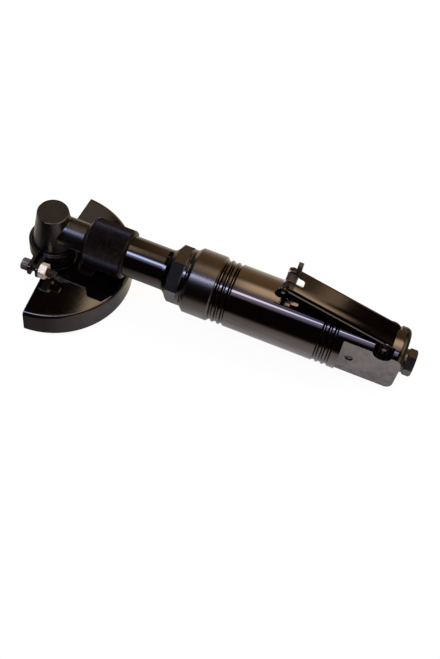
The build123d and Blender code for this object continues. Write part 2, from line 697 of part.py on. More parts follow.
# Motor housing: front ring, grooved barrel, rear block with flats, lever pockets and air ways
groove_arc = (groove_width ** 2 / 4 + groove_depth ** 2) / (2 * groove_depth)
groove_middles = [first + groove_pitch * number for first in (front_groove, rear_groove)
                  for number in range(grooves_per_set)]
with BuildPart() as motor_housing:
    add(motor_turned([
        (housing_front, 0), (housing_front, ring_nose_radius), (housing_front + ring_nose_length, ring_radius),
        (ring_end - 0.6, ring_radius), (ring_end, ring_radius - 0.6), (ring_end, barrel_radius),
        (housing_end, barrel_radius), (housing_end, 0),
    ]))
    rims = motor_housing.edges().filter_by(GeomType.CIRCLE).group_by(Axis.X)[-1]
    fillet(rims, housing_end_round)
    for middle in groove_middles:
        with BuildSketch(turning_plane):
            with Locations((middle, barrel_radius - groove_depth + groove_arc)):
                Circle(groove_arc)
        revolve(axis=motor_axis, mode=Mode.SUBTRACT)
    for side in (-1, 1):
        with Locations(((flat_start + housing_end + barrel_radius) / 2, side * (flat_distance + barrel_radius / 2),
                        axis_height)):
            Box(housing_end + barrel_radius - flat_start, barrel_radius, 3 * barrel_radius, mode=Mode.SUBTRACT)
    add(motor_turned([(housing_front - 1, 0), (motor_bore_end, 0), (motor_bore_end, motor_bore_radius),
                      (housing_front - 1, motor_bore_radius)]), mode=Mode.SUBTRACT)
    add(motor_turned([(valve_x, 0), (housing_end + 1, 0), (housing_end + 1, inlet_bore_radius),
                      (housing_end - inlet_bore_depth, inlet_bore_radius),
                      (housing_end - inlet_bore_depth, inlet_passage_radius), (valve_x, inlet_passage_radius)]),
        mode=Mode.SUBTRACT)
    with Locations((valve_x, 0, 0)):
        Cylinder(chamber_radius, chamber_top, align=(Align.CENTER, Align.CENTER, Align.MIN), mode=Mode.SUBTRACT)
        Cylinder(stem_radius + running_fit, 2 * axis_height, align=(Align.CENTER, Align.CENTER, Align.MIN),
                 mode=Mode.SUBTRACT)
    with BuildSketch(across(motor_bore_end - 1)):
        with Locations((0, port_rise)):
            Circle(port_radius)
    extrude(amount=valve_x - motor_bore_end + 1, mode=Mode.SUBTRACT)
    with BuildSketch(across(motor_bore_end - 1)):
        for angle in (-66, -46, 46, 66):
            with Locations((exhaust_circle * sin(radians(angle)), -exhaust_circle * cos(radians(angle)))):
                Circle(exhaust_hole_radius)
    extrude(amount=housing_end - motor_bore_end + 2, mode=Mode.SUBTRACT)
    for side in (-1, 1):
        with BuildSketch(side_plane(side * (lever_inner - pocket_side_gap))):
            with Locations((pivot_x, pivot_rise)):
                Circle(rear_ear_radius + ear_pocket_gap)
                Rectangle(2 * (rear_ear_radius + ear_pocket_gap), 12, align=(Align.CENTER, Align.MIN))
        extrude(amount=-side * 20, mode=Mode.SUBTRACT)
    with BuildSketch(side_plane(lever_inner + 1)):
        with Locations((pivot_x, pivot_rise)):
            Circle(lever_pin_radius + screwed_fit)
    extrude(amount=2 * lever_inner + 2, mode=Mode.SUBTRACT)
    with BuildSketch(side_plane(-flat_distance)):
        with Locations((side_plug_x, 0.2)):
            Circle(side_plug_radius + screwed_fit)
    extrude(amount=-side_plug_depth, mode=Mode.SUBTRACT)
    with BuildSketch(side_plane(-flat_distance)):
        with Locations((side_plug_x, 0.2)):
            Circle(plug_recess_radius)
    extrude(amount=-side_plug_recess, mode=Mode.SUBTRACT)
motor_housing.part.label = "motor_housing"
export_step(motor_housing.part, "parts/motor_housing.step")

# Air motor
with BuildPart() as front_end_plate:
    add(motor_turned([
        (tube_end, coupler_radius + 1.0), (front_rotor_bearing_x, coupler_radius + 1.0),
        (front_rotor_bearing_x, tube_bore_radius), (liner_x, tube_bore_radius),
        (liner_x, motor_bore_radius - screwed_fit), (tube_end, motor_bore_radius - screwed_fit),
    ]))
front_end_plate.part.label = "front_end_plate"
export_step(front_end_plate.part, "parts/front_end_plate.step")

with BuildPart() as front_rotor_bearing:
    add(bearing_on_motor_axis(front_rotor_bearing_x, shaft_bearing_bore, tube_bore_radius, shaft_bearing_width))
front_rotor_bearing.part.label = "front_rotor_bearing"
export_step(front_rotor_bearing.part, "parts/front_rotor_bearing.step")

with BuildPart() as cylinder_liner:
    with BuildSketch(across(liner_x)):
        Circle(motor_bore_radius - screwed_fit)
        with Locations((0, -liner_offset)):
            Circle(liner_bore_radius, mode=Mode.SUBTRACT)
        with Locations((0, motor_bore_radius - 2.6)):
            Circle(dowel_radius + screwed_fit, mode=Mode.SUBTRACT)
    extrude(amount=liner_length)
cylinder_liner.part.label = "cylinder_liner"
export_step(cylinder_liner.part, "parts/cylinder_liner.step")

with BuildPart() as rotor:
    add(motor_turned([
        (rear_coupler_end, 0), (rear_coupler_end, shaft_bearing_bore - running_fit),
        (liner_x + turning_gap, shaft_bearing_bore - running_fit), (liner_x + turning_gap, rotor_radius),
        (liner_end - turning_gap, rotor_radius), (liner_end - turning_gap, shaft_bearing_bore - running_fit),
        (liner_end + shaft_bearing_width, shaft_bearing_bore - running_fit), (liner_end + shaft_bearing_width, 0),
    ]))
    add(square_bar(rear_coupler_end - square_depth, rear_coupler_end + 0.5, square_width))
    with BuildSketch(across(liner_x)):
        with PolarLocations(rotor_radius, vane_count, start_angle=45):
            Rectangle(2 * (vane_height + 0.4), vane_thickness + 2 * vane_slot_play)
    extrude(amount=liner_length, mode=Mode.SUBTRACT)
rotor.part.label = "rotor"
export_step(rotor.part, "parts/rotor.step")

with BuildPart() as rotor_vanes:
    with BuildSketch(across(liner_x + turning_gap + 0.2)):
        with PolarLocations(rotor_radius - 0.1 - vane_height / 2, vane_count, start_angle=45):
            Rectangle(vane_height, vane_thickness)
    extrude(amount=liner_length - 2 * turning_gap - 0.4)
rotor_vanes.part.label = "rotor_vanes"
export_step(rotor_vanes.part, "parts/rotor_vanes.step")

with BuildPart() as rear_end_plate:
    add(motor_turned([
        (liner_end, tube_bore_radius), (liner_end + shaft_bearing_width, tube_bore_radius),
        (liner_end + shaft_bearing_width, shaft_bearing_bore + 1.5), (rear_plate_end, shaft_bearing_bore + 1.5),
        (rear_plate_end, motor_bore_radius - screwed_fit), (liner_end, motor_bore_radius - screwed_fit),
    ]))
    with BuildSketch(across(liner_end - 1)):
        with Locations((0, motor_bore_radius - 2.6)):
            Circle(dowel_radius + screwed_fit)
    extrude(amount=rear_plate_thickness, mode=Mode.SUBTRACT)
rear_end_plate.part.label = "rear_end_plate"
export_step(rear_end_plate.part, "parts/rear_end_plate.step")

with BuildPart() as rear_rotor_bearing:
    add(bearing_on_motor_axis(liner_end, shaft_bearing_bore, tube_bore_radius, shaft_bearing_width))
rear_rotor_bearing.part.label = "rear_rotor_bearing"
export_step(rear_rotor_bearing.part, "parts/rear_rotor_bearing.step")

with BuildPart() as liner_dowel:
    with BuildSketch(across(liner_end - dowel_length / 2)):
        with Locations((0, motor_bore_radius - 2.6)):
            Circle(dowel_radius)
    extrude(amount=dowel_length)
liner_dowel.part.label = "liner_dowel"
export_step(liner_dowel.part, "parts/liner_dowel.step")

with BuildPart() as rear_gasket:
    add(motor_sleeve(rear_plate_end, motor_bore_end, motor_bore_radius - screwed_fit, motor_bore_radius - 2.0))
rear_gasket.part.label = "rear_gasket"
export_step(rear_gasket.part, "parts/rear_gasket.step")

# Throttle valve
with BuildPart() as valve_seat:
    with Locations((valve_x, 0, axis_height + seat_rise)):
        Cylinder(chamber_radius - screwed_fit, seat_bush_length, align=(Align.CENTER, Align.CENTER, Align.MIN))
        Cylinder(seat_hole_radius, seat_bush_length, align=(Align.CENTER, Align.CENTER, Align.MIN), mode=Mode.SUBTRACT)
    with BuildSketch(across(valve_x - chamber_radius - 1)):
        with Locations((0, port_rise + 2)):
            Circle(port_radius - 0.6)
    extrude(amount=chamber_radius + 1, mode=Mode.SUBTRACT)
valve_seat.part.label = "valve_seat"
export_step(valve_seat.part, "parts/valve_seat.step")

with BuildPart() as throttle_valve:
    stem_top = axis_height + stem_top_rise
    add(Pos(valve_x, 0, 0) * spindle_turned([
        (0, valve_head_floor - turning_gap), (valve_head_radius, valve_head_floor - turning_gap),
        (valve_head_radius, axis_height + seat_rise - turning_gap),
        (stem_radius, axis_height + seat_rise - turning_gap), (stem_radius, stem_top - 1.0),
        (stem_radius - 1.0, stem_top), (0, stem_top),
    ]))
throttle_valve.part.label = "throttle_valve"
export_step(throttle_valve.part, "parts/throttle_valve.step")

with BuildPart() as valve_plug:
    with Locations((valve_x, 0, plug_top - plug_depth)):
        Cylinder(chamber_radius - screwed_fit, plug_depth, align=(Align.CENTER, Align.CENTER, Align.MIN))
    with BuildSketch(Plane.XY.offset(plug_top - plug_depth)):
        with Locations((valve_x, 0)):
            RegularPolygon(3.4, 6)
    extrude(amount=3.0, mode=Mode.SUBTRACT)
valve_plug.part.label = "valve_plug"
export_step(valve_plug.part, "parts/valve_plug.step")

spring_floor = plug_top + valve_wire / 2 + 0.3
spring_room = valve_head_floor - turning_gap - valve_wire / 2 - 0.6 - spring_floor
with BuildPart() as valve_spring:
    add(coil(Plane(origin=(valve_x, 0, spring_floor), x_dir=(1, 0, 0), z_dir=(0, 0, 1)), valve_coil_radius,
             spring_room / valve_coil_turns, valve_coil_turns, 0, valve_wire, valve_wire))
valve_spring.part.label = "valve_spring"
export_step(valve_spring.part, "parts/valve_spring.step")

# Air inlet and side plug
inlet_bore_floor = housing_end - inlet_bore_depth
washer_end = housing_end + inlet_washer_thickness
bushing_end = washer_end + inlet_hex_length
with BuildPart() as inlet_screen:
    add(motor_turned([(inlet_bore_floor, 0), (inlet_bore_floor + screen_thickness, 0),
                      (inlet_bore_floor + screen_thickness, inlet_bore_radius - screwed_fit),
                      (inlet_bore_floor, inlet_bore_radius - screwed_fit)]))
    with BuildSketch(across(inlet_bore_floor - 1)):
        Circle(0.8)
        with PolarLocations(2.6, 6):
            Circle(0.8)
    extrude(amount=screen_thickness + 2, mode=Mode.SUBTRACT)
inlet_screen.part.label = "inlet_screen"
export_step(inlet_screen.part, "parts/inlet_screen.step")

with BuildPart() as inlet_washer:
    add(motor_sleeve(housing_end, washer_end, inlet_washer_radius, inlet_bore_radius))
    fillet(inlet_washer.edges().filter_by(lambda e: abs(e.radius - inlet_washer_radius) < 1e-3
                                          if e.geom_type == GeomType.CIRCLE else False), 0.5)
inlet_washer.part.label = "inlet_washer"
export_step(inlet_washer.part, "parts/inlet_washer.step")

with BuildPart() as inlet_bushing:
    add(hexagon_bar(washer_end, bushing_end, inlet_corner_radius, inlet_corner_angle))
    add(motor_turned([
        (washer_end, 0), (washer_end, inlet_corner_radius - 0.9), (washer_end + 0.7, inlet_corner_radius + 0.1),
        (bushing_end - 0.9, inlet_corner_radius + 0.1), (bushing_end, inlet_corner_radius - 1.3), (bushing_end, 0),
    ]), mode=Mode.INTERSECT)
    add(motor_turned([
        (inlet_bore_floor + screen_thickness, 0), (inlet_bore_floor + screen_thickness, inlet_bore_radius - screwed_fit),
        (washer_end + 0.5, inlet_bore_radius - screwed_fit), (washer_end + 0.5, 0),
    ]))
    add(motor_turned([
        (inlet_bore_floor - 1, 0), (inlet_bore_floor - 1, inlet_thread_radius - 1.2),
        (bushing_end - inlet_thread_length, inlet_thread_radius - 1.2),
        (bushing_end - inlet_thread_length, inlet_thread_radius), (bushing_end, inlet_thread_radius),
        (bushing_end + 1, inlet_thread_radius), (bushing_end + 1, 0),
    ]), mode=Mode.SUBTRACT)
inlet_bushing.part.label = "inlet_bushing"
export_step(inlet_bushing.part, "parts/inlet_bushing.step")

with BuildPart() as side_plug:
    with BuildSketch(side_plane(side_plug_recess - flat_distance)):
        with Locations((side_plug_x, 0.2)):
            Circle(side_plug_radius)
    extrude(amount=side_plug_recess - side_plug_depth + 0.1)
    with BuildSketch(side_plane(side_plug_recess - flat_distance)):
        with Locations((side_plug_x, 0.2)):
            Rectangle(2 * side_plug_radius, 0.9, rotation=35)
    extrude(amount=-1.0, mode=Mode.SUBTRACT)
side_plug.part.label = "side_plug"
export_step(side_plug.part, "parts/side_plug.step")

# Throttle lever: a folded channel with rear ears on the pivot and front ears for the latch pin
nose_plane = Plane(origin=lever_point(-lever_nose, lever_top), x_dir=(0, 1, 0), z_dir=lever_rear)
top_plane = Plane(origin=lever_point(0, lever_top + 5), x_dir=lever_rear, z_dir=lever_normal)
with BuildPart() as throttle_lever:
    with BuildSketch(nose_plane):
        RectangleRounded(2 * lever_half_width, 2 * flange_height, lever_fold_round, align=(Align.CENTER, Align.MAX))
        with Locations((0, -lever_sheet)):
            RectangleRounded(2 * lever_inner, 2 * flange_height, 0.5, align=(Align.CENTER, Align.MAX),
                             mode=Mode.SUBTRACT)
        with Locations((0, -flange_height)):
            Rectangle(3 * lever_half_width, 2 * flange_height, align=(Align.CENTER, Align.MAX), mode=Mode.SUBTRACT)
    extrude(amount=lever_nose + lever_tail)
    with BuildSketch(lever_side):
        with BuildLine():
            Polyline((-flange_low_end, lever_top - flange_height), (-flange_rear, lever_top - flange_rear_height),
                     (lever_tail + 2, lever_top - flange_rear_height), (lever_tail + 2, -3 * flange_height),
                     (-flange_low_end, -3 * flange_height),
                     close=True)
        make_face()
    extrude(amount=lever_half_width + 2, both=True, mode=Mode.SUBTRACT)
    with BuildSketch(top_plane):
        with Locations((-(lever_nose + 5 + lever_slot_rear) / 2, (lever_slot_far - lever_slot_near) / 2)):
            RectangleRounded(lever_nose + 5 - lever_slot_rear, lever_slot_far + lever_slot_near, 1.5)
    extrude(amount=-14, mode=Mode.SUBTRACT)
    with BuildSketch(top_plane):
        with Locations((-(lever_nose + 5 + lever_far_nose) / 2, lever_slot_far - nose_cut_step)):
            Rectangle(lever_nose + 5 - lever_far_nose, 2 * lever_half_width, align=(Align.CENTER, Align.MIN))
        with Locations((-(lever_nose + 5 + lever_near_nose) / 2, nose_cut_step - lever_slot_near)):
            Rectangle(lever_nose + 5 - lever_near_nose, lever_inner - lever_slot_near + nose_cut_step,
                      align=(Align.CENTER, Align.MAX))
    extrude(amount=-5 - lever_sheet - 0.1, mode=Mode.SUBTRACT)
    for side in (-1, 1):
        ear_plane = lever_side.offset(-side * lever_inner)
        with BuildSketch(ear_plane):
            Circle(rear_ear_radius)
            with Locations((-rear_ear_radius, 0)):
                Rectangle(rear_ear_radius + lever_tail, lever_top - lever_fold_round, align=(Align.MIN, Align.MIN))
            with Locations((-latch_back, latch_up)):
                Circle(far_ear_radius)
        extrude(amount=-side * lever_sheet)
    with BuildSketch(lever_side.offset(lever_inner)):
        with Locations((-latch_back, latch_up), (-latch_back - ear_lean, latch_up - front_ear_reach)):
            Circle(front_ear_radius)
        with BuildLine():
            Polyline((-latch_back - front_ear_radius, latch_up), (-latch_back + front_ear_radius, latch_up),
                     (-latch_back - ear_lean + front_ear_radius, latch_up - front_ear_reach),
                     (-latch_back - ear_lean - front_ear_radius, latch_up - front_ear_reach), close=True)
        make_face()
    extrude(amount=lever_sheet)
    with BuildSketch(lever_side):
        Circle(lever_pin_radius + running_fit)
        with Locations((-latch_back, latch_up)):
            Circle(latch_pin_radius)
    extrude(amount=lever_half_width + 2, both=True, mode=Mode.SUBTRACT)
throttle_lever.part.label = "throttle_lever"
export_step(throttle_lever.part, "parts/throttle_lever.step")

with BuildPart() as lever_pin:
    with BuildSketch(lever_side):
        Circle(lever_pin_radius)
    extrude(amount=lever_half_width + lever_pin_overhang, both=True)
    chamfer(lever_pin.edges().filter_by(GeomType.CIRCLE), 0.3)
lever_pin.part.label = "lever_pin"
export_step(lever_pin.part, "parts/lever_pin.step")

# Safety latch: two cheeks on the latch pin, a plate behind them, a thumb tab above and a leg below
latch_axis = lever_point(-latch_back, latch_up)
latch_side = Plane(origin=latch_axis, x_dir=(1, 0, 0), z_dir=(0, -1, 0))
plate_back = latch_plate_front + latch_plate
shelf_floor = latch_bush_radius + turning_gap
with BuildPart() as safety_latch:
    for near, far in ((latch_near, latch_near + latch_cheek), (latch_far - latch_cheek, latch_far)):
        with BuildSketch(latch_side.offset(-near)):
            Circle(latch_cheek_radius)
            with Locations((0, (latch_web_top + latch_web_floor) / 2)):
                Rectangle(plate_back, latch_web_top - latch_web_floor, align=(Align.MIN, Align.CENTER))
        extrude(amount=near - far)
    plate_face = Plane(origin=latch_axis + Vector(latch_plate_front, 0, 0), x_dir=(0, 1, 0), z_dir=(1, 0, 0))
    with BuildSketch(plate_face):
        with Locations(((latch_near + latch_far) / 2, (latch_web_top + latch_web_floor) / 2)):
            Rectangle(latch_far - latch_near, latch_web_top - latch_web_floor)
        with Locations(((latch_tab_near + latch_far) / 2, latch_web_floor)):
            Rectangle(latch_far - latch_tab_near, latch_tab_top - latch_web_floor, align=(Align.CENTER, Align.MIN))
        with Locations(((latch_leg_near + latch_leg_far) / 2, -latch_leg_length)):
            Rectangle(latch_leg_far - latch_leg_near, latch_leg_length, align=(Align.CENTER, Align.MIN))
    extrude(amount=latch_plate)
    with BuildSketch(latch_side.offset(-latch_near)):
        with Locations((latch_shelf_front, shelf_floor)):
            Rectangle(plate_back - latch_shelf_front, latch_shelf, align=(Align.MIN, Align.MIN))
    extrude(amount=latch_near - latch_tab_near)
    with BuildSketch(plate_face):
        with Locations(((latch_tab_near + latch_far) / 2, shelf_floor + latch_shelf)):
            Rectangle(latch_far - latch_tab_near, latch_tab_top - shelf_floor - latch_shelf,
                      align=(Align.CENTER, Align.MIN))
    extrude(amount=latch_tab_thickness)
    tab_edges = safety_latch.edges().filter_by(Axis.X).group_by(Axis.Z)[-1]
    fillet(tab_edges, latch_tab_round)
    leg_edges = safety_latch.edges().filter_by(Axis.X).group_by(Axis.Z)[0]
    fillet(leg_edges, 1.2)
    with BuildSketch(latch_side):
        Circle(latch_pin_radius + running_fit)
    extrude(amount=lever_half_width, both=True, mode=Mode.SUBTRACT)
safety_latch.part.label = "safety_latch"
export_step(safety_latch.part, "parts/safety_latch.step")

with BuildPart() as latch_pin:
    with BuildSketch(latch_side):
        Circle(latch_pin_radius)
    extrude(amount=lever_half_width + latch_pin_overhang, both=True)
    chamfer(latch_pin.edges().filter_by(GeomType.CIRCLE), 0.25)
latch_pin.part.label = "latch_pin"
export_step(latch_pin.part, "parts/latch_pin.step")

with BuildPart() as latch_bush:
    with BuildSketch(latch_side.offset(-(latch_near + latch_cheek + turning_gap))):
        Circle(latch_bush_radius)
        Circle(latch_pin_radius + screwed_fit, mode=Mode.SUBTRACT)
    extrude(amount=-(latch_far - latch_near - 2 * latch_cheek - 2 * turning_gap))
latch_bush.part.label = "latch_bush"
export_step(latch_bush.part, "parts/latch_bush.step")

with BuildPart() as latch_spring:
    add(coil(Plane(origin=latch_axis + Vector(0, latch_coil_start, 0), x_dir=lever_normal, z_dir=(0, 1, 0)),
             latch_coil_radius, latch_coil_pitch, latch_coil_turns, 180, latch_wire, latch_tail_length))
latch_spring.part.label = "latch_spring"
export_step(latch_spring.part, "parts/latch_spring.step")

# Wheel guard: half plate and skirt, with a split hub on the head boss
with BuildPart() as guard:
    add(spindle_turned([
        (boss_radius + screwed_fit, guard_plate_floor), (guard_radius - guard_sheet, guard_plate_floor),
        (guard_radius - guard_sheet, -guard_skirt_drop), (guard_radius, -guard_skirt_drop),
        (guard_radius, guard_plate_rise), (boss_radius + screwed_fit, guard_plate_rise),
    ]))
    guard_rings = guard.edges().filter_by(GeomType.CIRCLE)
    fillet(guard_rings.filter_by(lambda e: abs(e.radius - guard_radius) < 1e-3).group_by(Axis.Z)[-1], guard_bend)
    guard_rings = guard.edges().filter_by(GeomType.CIRCLE)
    fillet(guard_rings.filter_by(lambda e: abs(e.radius - guard_radius + guard_sheet) < 1e-3).group_by(Axis.Z)[-1],
           guard_bend - guard_sheet)
    with BuildSketch(Plane.XY.offset(guard_plate_rise)):
        with BuildLine():
            edge_reach = 2 * guard_radius
            edge_back = guard_front + edge_reach * tan(radians(guard_edge_sweep))
            Polyline((guard_front, 0), (edge_back, edge_reach), (-edge_reach, edge_reach), (-edge_reach, -edge_reach),
                     (edge_back, -edge_reach), close=True)
        make_face()
    extrude(amount=guard_plate_rise + guard_skirt_drop, both=True, mode=Mode.SUBTRACT)
    add(spindle_sleeve(guard_plate_floor, hub_top, hub_radius, boss_radius + screwed_fit))
    with Locations((ear_middle, 0, guard_plate_rise + hub_slot_floor)):
        Box(hub_slot_width, 2 * hub_radius, hub_top, align=(Align.CENTER, Align.MAX, Align.MIN), mode=Mode.SUBTRACT)
guard.part.label = "guard"
export_step(guard.part, "parts/guard.step")

# Clamp band, screw and nut
band_height = band_top - band_bottom
with BuildPart() as clamp_band:
    add(spindle_sleeve(band_bottom, band_top, band_outer, band_inner))
    for start in (ear_middle - ear_gap / 2 - ear_thickness, ear_middle + ear_gap / 2):
        with BuildSketch(Plane(origin=(start, 0, screw_rise), x_dir=(0, 1, 0), z_dir=(1, 0, 0))):
            with Locations((-ear_reach, 0)):
                RectangleRounded(ear_reach - ear_root, band_height, ear_corner, align=(Align.MIN, Align.CENTER))
            with Locations((-screw_distance, 0)):
                Circle(screw_radius + screwed_fit, mode=Mode.SUBTRACT)
        extrude(amount=ear_thickness)
    with Locations((ear_middle, 0, screw_rise)):
        Box(ear_gap, ear_reach + band_outer, 2 * band_height, align=(Align.CENTER, Align.MAX, Align.CENTER),
            mode=Mode.SUBTRACT)
    add(spindle_turned([(0, 0), (band_inner, 0), (band_inner, head_top), (0, head_top)]), mode=Mode.SUBTRACT)
clamp_band.part.label = "clamp_band"
export_step(clamp_band.part, "parts/clamp_band.step")

screw_face = ear_middle - ear_gap / 2 - ear_thickness
nut_face = ear_middle + ear_gap / 2 + ear_thickness
screw_axis = Axis((0, -screw_distance, screw_rise), (1, 0, 0))
screw_plane = Plane(origin=(0, -screw_distance, screw_rise), x_dir=(1, 0, 0), z_dir=(0, -1, 0))
screw_end = nut_face + clamp_nut_height + screw_tail
with BuildPart() as clamp_screw:
    add(turned([
        (screw_face - screw_head_height, 0), (screw_face - screw_head_height, screw_head_radius - 0.5),
        (screw_face - screw_head_height + 0.5, screw_head_radius), (screw_face, screw_head_radius),
        (screw_face, screw_radius), (screw_end - 0.8, screw_radius), (screw_end, screw_radius - 0.8), (screw_end, 0),
    ], screw_plane, screw_axis))
    with BuildSketch(Plane(origin=(screw_face - screw_head_height, -screw_distance, screw_rise), z_dir=(1, 0, 0))):
        RegularPolygon(screw_socket_width / 2, 6, major_radius=False)
    extrude(amount=screw_socket_depth, mode=Mode.SUBTRACT)
clamp_screw.part.label = "clamp_screw"
export_step(clamp_screw.part, "parts/clamp_screw.step")

with BuildPart() as clamp_nut:
    with BuildSketch(Plane(origin=(nut_face, -screw_distance, screw_rise), x_dir=(0, 1, 0), z_dir=(1, 0, 0))):
        RegularPolygon(clamp_nut_width / 2, 6, major_radius=False, rotation=clamp_nut_turn)
    extrude(amount=clamp_nut_height)
    corner = clamp_nut_width / sqrt(3)
    add(turned([
        (nut_face, 0), (nut_face, corner - 0.5), (nut_face + 0.5, corner + 0.1),
        (nut_face + clamp_nut_height - 0.6, corner + 0.1), (nut_face + clamp_nut_height, corner - 0.8),
        (nut_face + clamp_nut_height, 0),
    ], screw_plane, screw_axis), mode=Mode.INTERSECT)
    add(turned([(nut_face - 1, 0), (screw_end, 0), (screw_end, screw_radius + screwed_fit),
                (nut_face - 1, screw_radius + screwed_fit)], screw_plane, screw_axis), mode=Mode.SUBTRACT)
clamp_nut.part.label = "clamp_nut"
export_step(clamp_nut.part, "parts/clamp_nut.step")
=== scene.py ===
import math

import bpy
from mathutils import Matrix, Vector


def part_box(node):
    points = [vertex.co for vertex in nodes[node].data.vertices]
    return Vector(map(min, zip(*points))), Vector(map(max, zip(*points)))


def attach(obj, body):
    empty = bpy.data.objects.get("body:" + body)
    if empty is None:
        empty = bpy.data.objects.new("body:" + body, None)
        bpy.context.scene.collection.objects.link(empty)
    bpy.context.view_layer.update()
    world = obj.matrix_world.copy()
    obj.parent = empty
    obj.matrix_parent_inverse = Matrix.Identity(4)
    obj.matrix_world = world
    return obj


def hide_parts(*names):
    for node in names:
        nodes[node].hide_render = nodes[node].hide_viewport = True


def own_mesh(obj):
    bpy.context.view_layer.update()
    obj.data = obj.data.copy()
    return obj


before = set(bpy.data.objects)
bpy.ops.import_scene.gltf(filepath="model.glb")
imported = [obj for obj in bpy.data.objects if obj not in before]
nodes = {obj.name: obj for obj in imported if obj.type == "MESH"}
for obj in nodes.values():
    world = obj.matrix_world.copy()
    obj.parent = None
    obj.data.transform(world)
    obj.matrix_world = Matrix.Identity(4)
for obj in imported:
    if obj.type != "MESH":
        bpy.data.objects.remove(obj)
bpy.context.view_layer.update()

MM = 0.001


# Node helpers: a tree is built with add(), which sets plain inputs and links sockets
def add(tree, kind, inputs=None, **settings):
    """New node; inputs maps socket name or number to a value or to another node's output socket."""
    node = tree.nodes.new(kind)
    for key, value in settings.items():
        setattr(node, key, value)
    for key, value in (inputs or {}).items():
        if isinstance(value, bpy.types.NodeSocket):
            tree.links.new(value, node.inputs[key])
        else:
            node.inputs[key].default_value = value
    return node


def calc(tree, operation, first, second=0.0, clamp=False):
    """One step of arithmetic on two numbers."""
    return add(tree, "ShaderNodeMath", {0: first, 1: second}, operation=operation, use_clamp=clamp).outputs[0]


def plus(tree, first, second):
    """Sum of two numbers."""
    return calc(tree, "ADD", first, second)


def times(tree, first, *others):
    """Product of two or more numbers."""
    for other in others:
        first = calc(tree, "MULTIPLY", first, other)
    return first


def span(tree, value, low, high, out_low=0.0, out_high=1.0, smooth=False):
    """Value taken from low..high to out_low..out_high, held at the ends."""
    kind = "SMOOTHSTEP" if smooth else "LINEAR"
    limits = {"Value": value, "From Min": low, "From Max": high, "To Min": out_low, "To Max": out_high}
    return add(tree, "ShaderNodeMapRange", limits, interpolation_type=kind).outputs["Result"]


def window(tree, value, start, full, until, end):
    """Rises from 0 at start to 1 at full, and falls from 1 at until to 0 at end."""
    rise = span(tree, value, start, full, smooth=True)
    fall = span(tree, value, end, until, smooth=True)
    return times(tree, rise, fall)


def mix_colour(tree, share, first, second):
    """Blend of two colours."""
    return add(tree, "ShaderNodeMix", {0: share, 6: first, 7: second}, data_type="RGBA").outputs[2]


def vector(tree, operation, first, second=None, scale=None):
    """One step of vector arithmetic; scale may be a socket."""
    inputs = {0: first}
    if second is not None:
        inputs[1] = second
    if scale is not None:
        inputs["Scale"] = scale
    return add(tree, "ShaderNodeVectorMath", inputs, operation=operation).outputs[0]


def split(tree, value):
    """X, Y and Z of a vector."""
    return add(tree, "ShaderNodeSeparateXYZ", {0: value}).outputs


def rgb(r, g, b):
    """Colour with full cover."""
    return (r, g, b, 1.0)


def noise(tree, place, scale, detail, roughness):
    """Cloudy pattern, mostly between 0.3 and 0.7."""
    settings = {"Vector": place, "Scale": scale, "Detail": detail, "Roughness": roughness}
    return add(tree, "ShaderNodeTexNoise", settings).outputs["Fac"]


def stretched(tree, place, scales):
    """Place with each axis scaled."""
    return add(tree, "ShaderNodeMapping", {"Vector": place, "Scale": scales}).outputs["Vector"]


def new_tree(owner):
    """Empty node tree of a material or a world."""
    owner.use_nodes = True
    owner.node_tree.nodes.clear()
    return owner.node_tree


# Noise of the finishes: features per mm, detail and roughness; the grain's scale is set for each finish
BLOTCH = (0.07, 5.0, 0.6)
GRAIN = (3.0, 0.6)
PEEL = (0.35, 1.0, 0.4)
CLOUD = (0.22, 5.0, 0.62)
PATCH = (0.45, 4.0, 0.65)
FILM = (0.16, 6.0, 0.7)
TURNED = (1.0, 4.0, 0.75)
STREAK = (1.0, 5.0, 0.7)
STREAK_STRETCH = (0.035, 1.1, 1.1)

# Colours of wear, of painted shade on groove walls, of clouds that are partly painted reflection, and of dust
WORN_BROWN = (0.16, 0.13, 0.11)
GROOVE_PAINTED_SHADE = (0.0030, 0.0018, 0.0016)
CLOUD_SHEEN_GREY = (0.100, 0.086, 0.074)
DUST_GREY = (0.26, 0.235, 0.21)

# Widths over which parts of a finish blend, in mm
SATIN_BLEND = 0.2
WALL_BLEND = 0.1
CLOUD_BLEND = 0.1
PALE_BLEND = 0.4

# Levels of a pattern, or parts of a normal, between which an effect comes in
BLOTCH_LEVELS = (0.35, 0.65)
GLOSS_LEVELS = (0.3, 0.7)
STREAK_LEVELS = (0.60, 0.72)
CLOUD_LEVELS = (0.34, 0.70)
PATCH_LEVELS = (0.42, 0.62)
FILM_LEVELS = (0.50, 0.74)
TOP_FACING = (0.75, 0.9)
NEAR_FACING = (-0.75, -0.9)
WALL_FACING = (0.12, 0.32)
EDGE_TURN = (0.992, 0.86)

# Gloss and edges
GRAIN_GLOSS = 0.4  # share of the gloss spread that the grain adds
CLOUD_DULLER = 0.20  # roughness that a cloud adds
WEAR_WIDTH = 2.2  # reach of worn edges, in edge radii
EDGE_SAMPLES = 6


def bowed_sheet(tree, normal, across, start, end, fall, lean):
    """Normal of pressed sheet: the top bows down from start to end, in mm of Y; the near flange leans in."""
    facing = split(tree, normal)
    on_top = span(tree, facing["Z"], *TOP_FACING)
    bow = times(tree, on_top, span(tree, across, start, end, 0.0, -fall, smooth=True))
    inward = span(tree, facing["Y"], *NEAR_FACING, 0.0, -lean)
    bend = add(tree, "ShaderNodeCombineXYZ", {"Y": bow, "Z": inward}).outputs[0]
    bend = add(tree, "ShaderNodeVectorTransform", {0: bend}, vector_type="VECTOR", convert_from="OBJECT",
               convert_to="WORLD").outputs[0]
    return vector(tree, "NORMALIZE", vector(tree, "ADD", normal, bend))


